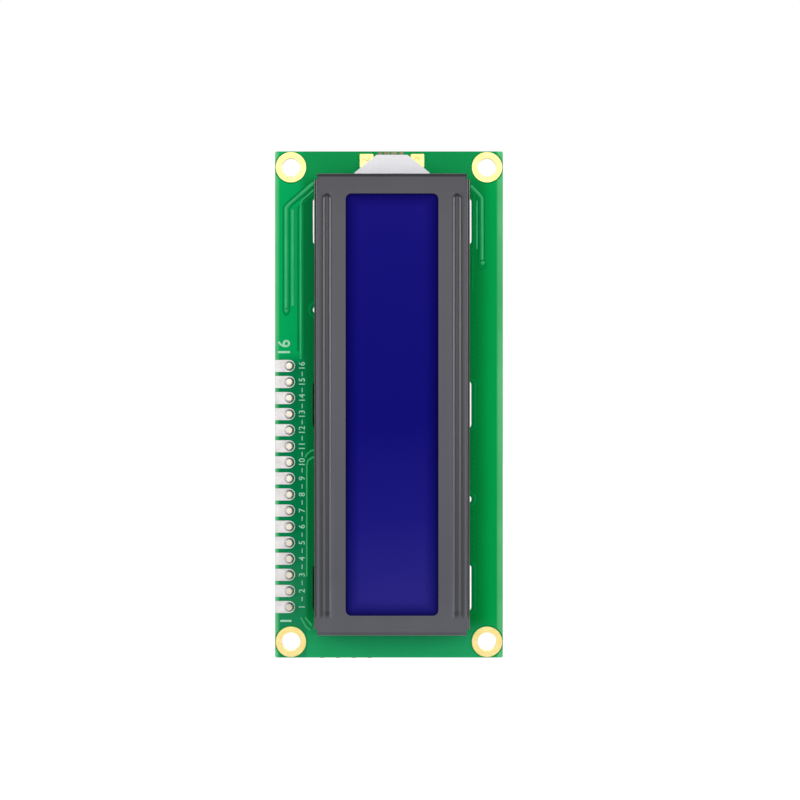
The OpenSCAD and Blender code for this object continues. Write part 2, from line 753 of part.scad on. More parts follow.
module at_trimmer_leads() {
    for (at = trimmer_leads_at)
        translate([trimmer_at[0] + at[0], 0, trimmer_at[1] + at[1]]) children();
}

module adapter_board() {
    color([0.05, 0.05, 0.07]) difference() {
        translate([adapter_left + adapter_w / 2, 0, row_mid])
            layer(adapter_front, adapter_back) round_rect(adapter_w, adapter_l, 0.2);
        along_row() rotate([-90, 0, 0])
            translate([0, 0, adapter_front - cut]) cylinder(d = pin_hole_d, h = adapter_t + 2 * cut, $fn = 24);
        at_through_pins() rotate([-90, 0, 0])
            translate([0, 0, adapter_front - cut]) cylinder(d = pin_hole_d, h = adapter_t + 2 * cut, $fn = 24);
        at_trimmer_leads() rotate([-90, 0, 0])
            translate([0, 0, adapter_front - cut]) cylinder(d = pin_hole_d, h = adapter_t + 2 * cut, $fn = 24);
    }
}

// Solder under the adapter, round the pins of the parts on its back
module through_solder() {
    color([0.75, 0.76, 0.78]) translate([0, adapter_front, 0]) {
        at_through_pins() mirror([0, 1, 0]) solder_joint(joint_r, joint_h, pin_w);
        at_trimmer_leads() mirror([0, 1, 0]) solder_joint(joint_r, joint_h, trimmer_lead_w);
    }
}

// ---- Trimmer

module on_trimmer() {
    translate([trimmer_at[0], adapter_back, trimmer_at[1]]) children();
}

module trimmer_housing() {
    foot = 1;
    bore_r = rotor_d / 2 + rotor_fit;
    cavity_top = collar_y + collar_t + rotor_fit;
    top = trimmer_foot + trimmer_h;
    color([0.25, 0.53, 0.97]) on_trimmer() {
        difference() {
            translate([0, trimmer_foot, 0]) eased_block(trimmer_w, trimmer_l, trimmer_h, 0.4, 0.25);
            layer(0, element_y + element_t) square(element_w, center = true);
            layer(0, cavity_top) circle(collar_d / 2 + rotor_fit);
            layer(0, top + cut) circle(bore_r);
            for (a = [45:30:315])
                rotate([0, a, 0]) translate([-0.1, top - 0.12, bore_r + 0.35]) cube([0.2, cut, 0.6]);
            translate([trimmer_w * 0.3, top - 0.3, trimmer_l * 0.27])
                rotate([-90, 0, 0]) cylinder(d = 0.9, h = cut, $fn = 24);
        }
        for (x = [-1, 1], z = [-1, 1])
            translate([x * (trimmer_w - foot) / 2 - foot / 2 * 0.8, 0, z * (trimmer_l - foot) / 2 - foot / 2 * 0.8])
                cube([foot * 0.8, trimmer_foot + 0.1, foot * 0.8]);
    }
}

module trimmer_rotor() {
    color([0.45, 0.45, 0.47]) on_trimmer() difference() {
        union() {
            layer(collar_y, collar_y + collar_t) circle(collar_d / 2);
            layer(collar_y, rotor_top) circle(rotor_d / 2);
        }
        for (a = [0, 90])
            rotate([0, a, 0]) translate([-slot_w / 2, rotor_top - slot_deep, -rotor_d])
                cube([slot_w, slot_deep + cut, 2 * rotor_d]);
    }
}

module trimmer_wiper() {
    color([0.8, 0.65, 0.35]) on_trimmer() difference() {
        layer(wiper_y, collar_y) circle(collar_d / 2 - 0.3);
        layer(wiper_y - cut, collar_y + cut) circle(collar_d / 5);
    }
}

module trimmer_element() {
    color([0.85, 0.83, 0.78]) on_trimmer()
        layer(element_y, element_y + element_t) square(element_w, center = true);
}

module trimmer_leads() {
    color([0.8, 0.8, 0.82]) at_trimmer_leads()
        translate([-trimmer_lead_w / 2, adapter_front - tail, -trimmer_lead_w / 2])
            cube([trimmer_lead_w, tail + adapter_t + element_y, trimmer_lead_w]);
}

// ---- Expander chip

module on_chip() {
    translate([chip_at[0], adapter_back, chip_at[1]]) children();
}

module expander_body() {
    draft = 0.2;
    mid = chip_gap + chip_h * 0.45;
    top = chip_gap + chip_h;
    color([0.25, 0.25, 0.27]) on_chip() difference() {
        intersection() {
            linear_extrude(chip_l + cut, center = true) polygon([
                [-chip_w / 2 + draft, chip_gap], [chip_w / 2 - draft, chip_gap], [chip_w / 2, mid],
                [chip_w / 2 - draft, top], [-chip_w / 2 + draft, top], [-chip_w / 2, mid]
            ]);
            rotate([0, -90, 0]) linear_extrude(chip_w + cut, center = true) polygon([
                [-chip_l / 2 + draft, chip_gap], [chip_l / 2 - draft, chip_gap], [chip_l / 2, mid],
                [chip_l / 2 - draft, top], [-chip_l / 2 + draft, top], [-chip_l / 2, mid]
            ]);
        }
        translate([chip_w / 2 - 1.2, top - 0.15, -chip_l / 2 + 1.3])
            rotate([-90, 0, 0]) cylinder(d = 1, h = cut, $fn = 24);
    }
}

// One bent lead's side profile, from the body's side down to its foot
module lead_profile() {
    root = chip_l / 2;
    toe = lead_span / 2;
    shoulder = chip_gap + chip_h * 0.45 - lead_t / 2;
    knee = root + 0.35;
    heel = knee + 0.2;
    bend = lead_t * 0.5;
    polygon([
        [root, shoulder], [knee - bend, shoulder], [knee, shoulder - bend], [heel, bend],
        [heel + bend, 0], [toe, 0], [toe, lead_t], [heel + 2 * bend, lead_t],
        [knee + lead_t * 0.9, shoulder + bend], [knee + bend * 0.8, shoulder + lead_t], [root, shoulder + lead_t]
    ]);
}

module expander_leads() {
    color([0.82, 0.82, 0.84]) on_chip() for (side = [0, 180], i = [-3.5:3.5])
        rotate([0, side, 0]) translate([i * lead_pitch, 0, 0])
            rotate([0, -90, 0]) linear_extrude(lead_w, center = true) lead_profile();
}

// ---- Small parts on the adapter

module on_adapter(at, turn) {
    translate([at[0], adapter_back, at[1]]) rotate([0, turn, 0]) children();
}

// Three resistors beside the chip and one beside the power lamp
module at_resistors() {
    for (i = [0:2]) on_adapter([column_at[0], column_at[1] + i * column_pitch], 0) children();
    on_adapter([power_at[0], power_at[1] + power_pitch], 90) children();
    for (i = [0, 1]) on_adapter([array_at[0], array_at[1] + i * array_pitch], 90) children();
}

module at_capacitors() {
    for (i = [2, 3]) on_adapter([array_at[0], array_at[1] + i * array_pitch], 90) children();
}

module adapter_resistors() {
    color([0.1, 0.1, 0.1]) at_resistors() small_body(small_l, small_w, small_h, small_end);
}

module adapter_resistor_ends() {
    color([0.8, 0.8, 0.8]) at_resistors() small_ends(small_l, small_w, small_h, small_end);
}

module adapter_capacitors() {
    color([0.6, 0.48, 0.35]) at_capacitors() small_body(small_l, small_w, small_h * 1.6, small_end);
}

module adapter_capacitor_ends() {
    color([0.8, 0.8, 0.8]) at_capacitors() small_ends(small_l, small_w, small_h * 1.6, small_end);
}

module transistor_body() {
    color([0.3, 0.3, 0.32]) on_adapter(transistor_at, 0)
        translate([-transistor_w / 2, 0.1, -transistor_l / 2]) cube([transistor_w, transistor_h, transistor_l]);
}

module transistor_leads() {
    reach = 0.55;
    width = 0.45;
    color([0.82, 0.82, 0.84]) on_adapter(transistor_at, 0)
        for (lead = [[-1, 0], [1, -0.95], [1, 0.95]])
            translate([lead[0] * (transistor_w / 2 + reach / 2) - reach / 2, 0, lead[1] - width / 2]) {
                cube([reach, 0.15, width]);
                translate([lead[0] < 0 ? reach - 0.15 : 0, 0, 0]) cube([0.15, transistor_h / 2, width]);
            }
}

module power_lamp() {
    color([0.95, 0.85, 0.8]) on_adapter(power_at, 90)
        small_body(power_l, small_w, small_h * 1.3, small_end);
}

module power_lamp_ends() {
    color([0.85, 0.8, 0.6]) on_adapter(power_at, 90)
        small_ends(power_l, small_w, small_h * 0.6, small_end);
}

// ---- Angled headers

// Plastic of an angled header, its outer face at Z = 0, pins leaving towards -Z
module angled_plastic(count) {
    difference() {
        for (i = [0:count - 1])
            translate([(i - (count - 1) / 2) * pitch, angled_h / 2, 0])
                linear_extrude(angled_l) rotate(90) header_cell(angled_h);
        angled_pins(count, cut, 0);
    }
}

// Bent pins: one leg leaves the plastic, the other goes down through the adapter
module angled_pins(count, reach, depth) {
    for (i = [0:count - 1]) translate([(i - (count - 1) / 2) * pitch - pin_w / 2, 0, 0]) {
        translate([0, angled_pin_y - pin_w / 2, -reach])
            cube([pin_w, pin_w, reach + angled_l / 2 + pin_w / 2]);
        translate([0, -depth - (depth == 0 ? cut : 0), angled_l / 2 - pin_w / 2])
            cube([pin_w, angled_pin_y + pin_w / 2 + depth + (depth == 0 ? cut : 0), pin_w]);
    }
}

module serial_header() {
    color([0.15, 0.15, 0.17]) on_adapter(serial_at, 0) angled_plastic(serial_count);
}

module serial_pins() {
    color([0.85, 0.85, 0.82]) on_adapter(serial_at, 0)
        angled_pins(serial_count, serial_reach, adapter_t + tail);
}

module jumper_header() {
    color([0.15, 0.15, 0.17]) on_adapter(jumper_at, 180) angled_plastic(len(jumper_pins_x));
}

module jumper_pins() {
    color([0.85, 0.85, 0.82]) on_adapter(jumper_at, 180)
        angled_pins(len(jumper_pins_x), jumper_reach, adapter_t + tail);
}

// ---- Jumper cap

// Places children on the jumper's pins, with +Z along the way the cap comes off
module on_jumper() {
    translate([jumper_at[0], adapter_back + angled_pin_y, jumper_at[1] + jcap_z]) children();
}

module contact_envelope(extra) {
    for (x = jumper_pins_x)
        translate([x - sleeve_w / 2 - extra, -sleeve_w / 2 - extra, -extra])
            cube([sleeve_w + 2 * extra, sleeve_w + 2 * extra, sleeve_l + 0.4 + extra]);
}

module jumper_cap() {
    color([0.36, 0.36, 0.39]) on_jumper() difference() {
        translate([0, -jcap_h / 2, jcap_l / 2]) eased_block(jcap_w, jcap_l, jcap_h, 0.3, 0.3);
        contact_envelope(0);
        for (x = jumper_pins_x)
            translate([x - pin_w / 2 - contact_fit, -pin_w / 2 - contact_fit, -cut])
                cube([pin_w + 2 * contact_fit, pin_w + 2 * contact_fit, jumper_reach + cut]);
        translate([-notch_w / 2, -jcap_h, jcap_l - notch_l]) cube([notch_w, 2 * jcap_h, notch_l + cut]);
        translate([-pitch / 2 - sleeve_w / 2, -sleeve_w / 2, sleeve_l])
            cube([pitch + sleeve_w, sleeve_w, web_z + contact_t - sleeve_l]);
    }
}

module jumper_contact() {
    inner = pin_w + 2 * contact_fit;
    color([0.85, 0.6, 0.45]) on_jumper() difference() {
        union() {
            contact_envelope(0);
            for (x = jumper_pins_x)
                translate([x - sleeve_w / 2, -sleeve_w / 2, sleeve_l]) cube([sleeve_w, contact_t, web_z - sleeve_l]);
            translate([-pitch / 2 - sleeve_w / 2, -sleeve_w / 2, web_z]) cube([pitch + sleeve_w, sleeve_w, contact_t]);
        }
        for (x = jumper_pins_x)
            translate([x - inner / 2, -inner / 2, -cut]) cube([inner, inner, web_z + cut]);
    }
}

display_board();
bezel();
front_polarizer();
front_glass();
cell_seal();
liquid_crystal();
rear_glass();
rear_polarizer();
left_elastomer();
right_elastomer();
diffuser_film();
light_guide();
reflector_film();
backlight_frame();
backlight_lamp();
lamp_leads();
lamp_solder();
controller_cap();
driver_cap();
board_resistors();
board_resistor_ends();
header_pins();
header_spacer();
display_solder();
adapter_solder();
adapter_board();
trimmer_housing();
trimmer_rotor();
trimmer_wiper();
trimmer_element();
trimmer_leads();
expander_body();
expander_leads();
adapter_resistors();
adapter_resistor_ends();
adapter_capacitors();
adapter_capacitor_ends();
transistor_body();
transistor_leads();
power_lamp();
power_lamp_ends();
serial_header();
serial_pins();
jumper_header();
jumper_pins();
through_solder();
jumper_cap();
jumper_contact();
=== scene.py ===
# Character display module with a serial adapter board soldered behind it
import math

import bmesh
import bpy
from mathutils import Matrix, Vector


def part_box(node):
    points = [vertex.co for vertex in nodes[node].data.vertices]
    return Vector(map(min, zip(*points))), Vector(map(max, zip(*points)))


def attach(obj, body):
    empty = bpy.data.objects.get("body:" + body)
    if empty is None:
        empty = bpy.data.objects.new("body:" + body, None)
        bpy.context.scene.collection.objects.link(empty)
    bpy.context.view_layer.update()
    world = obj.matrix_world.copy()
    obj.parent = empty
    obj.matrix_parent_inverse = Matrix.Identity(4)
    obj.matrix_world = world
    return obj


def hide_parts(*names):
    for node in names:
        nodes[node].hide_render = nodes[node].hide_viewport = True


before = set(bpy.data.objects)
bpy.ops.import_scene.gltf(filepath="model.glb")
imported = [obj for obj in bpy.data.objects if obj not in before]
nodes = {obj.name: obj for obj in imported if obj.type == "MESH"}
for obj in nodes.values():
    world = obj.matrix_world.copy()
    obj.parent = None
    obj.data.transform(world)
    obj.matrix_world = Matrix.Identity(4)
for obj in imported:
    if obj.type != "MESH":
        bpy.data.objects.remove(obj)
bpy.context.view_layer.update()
mm = 0.001
print("frame loaded:", len(nodes), "nodes")


# ---- small helpers

def tint(red, green, blue):
    # a screen colour as the linear colour that shaders take
    return tuple(
        v / 255 / 12.92 if v <= 10 else ((v / 255 + 0.055) / 1.055) ** 2.4 for v in (red, green, blue)
    ) + (1.0,)


def deselectAll():
    if bpy.context.object and bpy.context.object.mode != "OBJECT":
        bpy.ops.object.mode_set(mode="OBJECT")
    bpy.ops.object.select_all(action="DESELECT")


def pickOnly(piece):
    deselectAll()
    piece.select_set(True)
    bpy.context.view_layer.objects.active = piece


def joinPieces(parts):
    deselectAll()
    for part in parts:
        part.select_set(True)
    bpy.context.view_layer.objects.active = parts[0]
    if len(parts) > 1:
        bpy.ops.object.join()
    return bpy.context.view_layer.objects.active


def applyPlace(piece):
    pickOnly(piece)
    bpy.ops.object.transform_apply(location=True, rotation=True, scale=True)
    return piece


def selectFaces(piece, test):
    # face mode, with the faces that pass the test picked
    pickOnly(piece)
    bpy.ops.object.mode_set(mode="EDIT")
    bpy.ops.mesh.select_mode(type="FACE")
    bpy.ops.mesh.select_all(action="DESELECT")
    mesh = bmesh.from_edit_mesh(piece.data)
    for face in mesh.faces:
        if test(face.calc_center_median(), face.normal):
            face.select_set(True)
    bmesh.update_edit_mesh(piece.data)


def setUp(piece, name, material, body="module", stands=()):
    # last step of every new piece: name, finish, body and the nodes it stands for
    applyPlace(piece)
    piece.name = name
    piece.data.name = name
    piece.data.materials.clear()
    piece.data.materials.append(material)
    if stands:
        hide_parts(*stands)
    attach(piece, body)
    return piece


# ---- finishes

def newFinish(name):
    material = bpy.data.materials.new(name)
    material.use_nodes = True
    tree = material.node_tree
    return material, tree, tree.nodes["Principled BSDF"]


def placeCoords(tree, stretch=(1, 1, 1)):
    coords = tree.nodes.new("ShaderNodeTexCoord")
    mapping = tree.nodes.new("ShaderNodeMapping")
    mapping.inputs["Scale"].default_value = stretch
    tree.links.new(coords.outputs["Object"], mapping.inputs["Vector"])
    return mapping.outputs["Vector"]


def noiseOf(tree, coords, scale, detail=3.0, roughness=0.5):
    node = tree.nodes.new("ShaderNodeTexNoise")
    node.inputs["Scale"].default_value = scale
    node.inputs["Detail"].default_value = detail
    node.inputs["Roughness"].default_value = roughness
    tree.links.new(coords, node.inputs["Vector"])
    return node.outputs["Fac"]


def rampOf(tree, factor, stops):
    node = tree.nodes.new("ShaderNodeValToRGB")
    ramp = node.color_ramp
    while len(ramp.elements) < len(stops):
        ramp.elements.new(0.5)
    for element, (place, colour) in zip(ramp.elements, stops):
        element.position = place
        element.color = colour
    tree.links.new(factor, node.inputs["Fac"])
    return node.outputs["Color"]


def rangeOf(tree, value, low, high, fromLow=0.0, fromHigh=1.0):
    node = tree.nodes.new("ShaderNodeMapRange")
    node.inputs["From Min"].default_value = fromLow
    node.inputs["From Max"].default_value = fromHigh
    node.inputs["To Min"].default_value = low
    node.inputs["To Max"].default_value = high
    tree.links.new(value, node.inputs["Value"])
    return node.outputs["Result"]


def mathOf(tree, operation, first, second=None):
    node = tree.nodes.new("ShaderNodeMath")
    node.operation = operation
    for socket, value in zip(node.inputs, (first, second)):
        if value is None:
            continue
        if isinstance(value, (int, float)):
            socket.default_value = value
        else:
            tree.links.new(value, socket)
    return node.outputs["Value"]


def mixOf(tree, factor, first, second, blend="MIX"):
    node = tree.nodes.new("ShaderNodeMix")
    node.data_type = "RGBA"
    node.blend_type = blend
    sockets = {s.identifier: s for s in node.inputs}
    if isinstance(factor, (int, float)):
        sockets["Factor_Float"].default_value = factor
    else:
        tree.links.new(factor, sockets["Factor_Float"])
    for key, value in (("A_Color", first), ("B_Color", second)):
        if isinstance(value, tuple):
            sockets[key].default_value = value
        else:
            tree.links.new(value, sockets[key])
    return {s.identifier: s for s in node.outputs}["Result_Color"]


def bumpOf(tree, shader, height, distance, strength=0.5):
    node = tree.nodes.new("ShaderNodeBump")
    node.inputs["Strength"].default_value = strength
    node.inputs["Distance"].default_value = distance
    tree.links.new(height, node.inputs["Height"])
    tree.links.new(node.outputs["Normal"], shader.inputs["Normal"])


def plainFinish(name, colours, patch=300.0, rough=(0.35, 0.5), grain=3000.0, relief=0.00001, metal=0.0,
                specular=0.3, stretch=(1, 1, 1), sheen=None):
    # two colours in soft patches, fine grain in roughness and relief
    material, tree, shader = newFinish(name)
    coords = placeCoords(tree, stretch)
    patches = noiseOf(tree, coords, patch, 4)
    fine = noiseOf(tree, coords, grain, 2)
    shade = rampOf(tree, patches, [(0.3, colours[0]), (0.7, colours[1])])
    speckle = rangeOf(tree, fine, 0.0, 0.12)
    dark = tuple(v * 0.6 for v in colours[0][:3]) + (1.0,)
    tree.links.new(mixOf(tree, speckle, shade, dark), shader.inputs["Base Color"])
    tree.links.new(rangeOf(tree, fine, rough[0], rough[1], 0.3, 0.7), shader.inputs["Roughness"])
    bumpOf(tree, shader, fine, relief)
    shader.inputs["Metallic"].default_value = metal
    shader.inputs["Specular IOR Level"].default_value = specular
    if sheen:
        shader.inputs["Specular Tint"].default_value = sheen
    return material


greens = {
    "light": tint(0, 164, 87), "dark": tint(0, 124, 48), "gap": tint(0, 132, 64),
    "shade": tint(0, 108, 50), "edge": tint(120, 180, 92), "laminate": tint(150, 165, 70),
    "rim": tint(96, 190, 124), "sheen": (0.05, 1.0, 0.4, 1.0),
}


def softStep(tree, value, start, end):
    # 0 before the start, 1 past the end, smooth between
    node = tree.nodes.new("ShaderNodeMapRange")
    node.interpolation_type = "SMOOTHSTEP"
    node.inputs["From Min"].default_value = start * mm
    node.inputs["From Max"].default_value = end * mm
    tree.links.new(value, node.inputs["Value"])
    return node.outputs["Result"]


def maskFinish():
    # green solder mask: darker beside the bezel in front, even behind, fibre layers at the cut edges
    material, tree, shader = newFinish("greenMask")
    coords = placeCoords(tree)
    split = tree.nodes.new("ShaderNodeSeparateXYZ")
    tree.links.new(coords, split.inputs["Vector"])
    across, along = split.outputs["X"], split.outputs["Z"]
    cloud = noiseOf(tree, coords, 90, 3)
    swing = mathOf(tree, "MULTIPLY", mathOf(tree, "SUBTRACT", cloud, 0.5), 0.9 * mm)
    wavy = mathOf(tree, "ADD", across, swing)
    front = mixOf(tree, softStep(tree, wavy, 13.6, 16.6), greens["dark"], tint(0, 158, 72))
    front = mixOf(tree, softStep(tree, wavy, -13.0, -14.5), front, greens["light"])
    # the strip of board between the header's labels and the bezel, in its shade
    shadeStrip = mathOf(tree, "MULTIPLY", softStep(tree, across, -13.75, -13.35),
        softStep(tree, across, -11.0, -11.6))
    shadeStrip = mathOf(tree, "MULTIPLY", shadeStrip, softStep(tree, along, 35.5, 31.5))
    shadeStrip = mathOf(tree, "MULTIPLY", shadeStrip, softStep(tree, along, -36.0, -31.0))
    front = mixOf(tree, shadeStrip, front, greens["shade"])
    ends = mathOf(tree, "MAXIMUM", softStep(tree, along, -33.5, -37.0),
        mathOf(tree, "MULTIPLY", softStep(tree, along, 33.0, 37.5), 0.35))
    front = mixOf(tree, ends, front, tint(32, 154, 94))
    rows = mathOf(tree, "MULTIPLY", softStep(tree, across, -12.6, -13.4), softStep(tree, along, 8.5, 6.0))
    low = softStep(tree, along, -18.0, -30.0)
    front = mixOf(tree, rows, front, mixOf(tree, low, tint(0, 120, 70), tint(28, 132, 84)))
    rim = mathOf(tree, "MAXIMUM", softStep(tree, across, 16.9, 17.35), softStep(tree, across, -17.2, -17.8))
    front = mixOf(tree, mathOf(tree, "MULTIPLY", rim, rangeOf(tree, cloud, 0.6, 1.0, 0.35, 0.65)), front,
        greens["rim"])
    back = rampOf(tree, cloud, [(0.35, tint(0, 152, 76)), (0.65, tint(4, 172, 92))])
    normal = tree.nodes.new("ShaderNodeSeparateXYZ")
    facing = tree.nodes.new("ShaderNodeTexCoord")
    tree.links.new(facing.outputs["Normal"], normal.inputs["Vector"])
    isBack = mathOf(tree, "GREATER_THAN", normal.outputs["Y"], 0.0)
    isEdge = mathOf(tree, "LESS_THAN", mathOf(tree, "ABSOLUTE", normal.outputs["Y"]), 0.5)
    layers = tree.nodes.new("ShaderNodeTexWave")
    layers.bands_direction = "Y"
    layers.inputs["Scale"].default_value = 900
    layers.inputs["Distortion"].default_value = 1.5
    tree.links.new(coords, layers.inputs["Vector"])
    cutEdge = rampOf(tree, layers.outputs["Fac"], [(0.2, greens["edge"]), (0.8, greens["laminate"])])
    face = mixOf(tree, isBack, front, back)
    tree.links.new(mixOf(tree, isEdge, face, cutEdge), shader.inputs["Base Color"])
    fine = noiseOf(tree, coords, 2500, 2)
    tree.links.new(rangeOf(tree, fine, 0.28, 0.42), shader.inputs["Roughness"])
    bumpOf(tree, shader, fine, 0.000006)
    shader.inputs["Specular IOR Level"].default_value = 0.3
    shader.inputs["Specular Tint"].default_value = greens["sheen"]
    return material


windowFacts = {"halfWidth": 7.2, "halfLength": 32.75}


def filmFinish():
    # the lit window: deep blue, brighter low down, with the bezel's painted shadow within a millimetre of the
    # bezel
    material, tree, shader = newFinish("windowFilm")
    low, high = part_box("bezel")
    middle = (low.x + high.x) / 2
    coords = placeCoords(tree)
    split = tree.nodes.new("ShaderNodeSeparateXYZ")
    tree.links.new(coords, split.inputs["Vector"])
    fromMiddle = mathOf(tree, "ABSOLUTE", mathOf(tree, "SUBTRACT", split.outputs["X"], middle))
    fromCentre = mathOf(tree, "ABSOLUTE", split.outputs["Z"])
    side = mathOf(tree, "SUBTRACT", windowFacts["halfWidth"] * mm, fromMiddle)
    end = mathOf(tree, "SUBTRACT", windowFacts["halfLength"] * mm, fromCentre)
    margin = tree.nodes.new("ShaderNodeMath")
    margin.operation = "SMOOTH_MIN"
    margin.inputs[2].default_value = 0.0012
    tree.links.new(side, margin.inputs[0])
    tree.links.new(end, margin.inputs[1])
    height = rangeOf(tree, split.outputs["Z"], 0, 1, -0.033, 0.033)
    cloud = noiseOf(tree, coords, 45, 1)
    height = mathOf(tree, "ADD", height, mathOf(tree, "MULTIPLY", mathOf(tree, "SUBTRACT", cloud, 0.5), 0.25))
    glow = rampOf(tree, height, [
        (0.0, tint(38, 35, 116)), (0.2, tint(24, 22, 110)), (0.5, tint(12, 11, 98)),
        (0.85, tint(16, 14, 100)),
        (1.0, tint(26, 21, 104)),
    ])
    # painted shadow of the bezel's edge, darkest at the window's border
    shade = rampOf(tree, rangeOf(tree, margin.outputs["Value"], 0, 1, 0.0, 0.0022), [
        (0.0, tint(120, 120, 150)), (0.4, tint(190, 190, 215)), (1.0, tint(255, 255, 255)),
    ])
    tree.links.new(mixOf(tree, 1.0, glow, shade, "MULTIPLY"), shader.inputs["Base Color"])
    fine = noiseOf(tree, coords, 1800, 2)
    tree.links.new(rangeOf(tree, fine, 0.22, 0.3), shader.inputs["Roughness"])
    bumpOf(tree, shader, fine, 0.000002)
    shader.inputs["Specular IOR Level"].default_value = 0.3
    shader.inputs["Specular Tint"].default_value = (0.06, 0.04, 1.0, 1.0)
    return material


def paintFinish():
    # bezel paint: dark grey with a violet cast, a little lighter low down, with painted highlights beside the
    # window and painted highlights and shade across the beads and the fold
    material, tree, shader = newFinish("bezelPaint")
    coords = placeCoords(tree)
    split = tree.nodes.new("ShaderNodeSeparateXYZ")
    tree.links.new(coords, split.inputs["Vector"])
    low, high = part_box("bezel")
    middle = (low.x + high.x) / 2
    fromMiddle = mathOf(tree, "ABSOLUTE", mathOf(tree, "SUBTRACT", split.outputs["X"], middle))
    along = rangeOf(tree, split.outputs["Z"], 0, 1, low.z, high.z)
    cloud = noiseOf(tree, placeCoords(tree, (1, 1, 0.2)), 160, 3)
    body = rampOf(tree, along, [
        (0.0, tint(76, 77, 84)), (0.12, tint(66, 66, 76)), (0.5, tint(58, 57, 68)), (0.9, tint(46, 45, 56)),
        (1.0, tint(32, 32, 40)),
    ])
    # painted highlights along the beads' shoulders and the fold's edge, brightest on the shoulders nearest
    # the window, with painted shade on the beads' crowns and in their feet
    beadHighlightsAndShade = rampOf(tree, rangeOf(tree, fromMiddle, 0, 1, 8.8 * mm, 12.1 * mm), [
        (0.0, tint(188, 188, 188)), (0.16, tint(205, 205, 205)), (0.22, tint(255, 255, 255)),
        (0.3, tint(120, 120, 120)),
        (0.42, tint(110, 110, 110)), (0.52, tint(205, 205, 205)), (0.62, tint(90, 90, 90)),
        (0.72, tint(130, 130, 130)),
        (0.8, tint(230, 230, 225)), (0.9, tint(100, 100, 100)), (1.0, tint(80, 80, 80)),
    ])
    inRange = softStep(tree, mathOf(tree, "ABSOLUTE", split.outputs["Z"]), 33.4, 32.6)
    body = mixOf(tree, 1.0, body, mixOf(tree, inRange, tint(188, 188, 188), beadHighlightsAndShade), "MULTIPLY")
    body = mixOf(tree, 1.0, body, (1.95, 1.95, 1.95, 1.0), "MULTIPLY")
    worn = rangeOf(tree, cloud, 0.0, 0.35, 0.35, 0.75)
    tree.links.new(mixOf(tree, worn, body, tint(48, 47, 54)), shader.inputs["Base Color"])
    fine = noiseOf(tree, coords, 4200, 2)
    tree.links.new(rangeOf(tree, fine, 0.2, 0.28), shader.inputs["Roughness"])
    bumpOf(tree, shader, fine, 0.000003)
    shader.inputs["Specular IOR Level"].default_value = 0.6
    return material


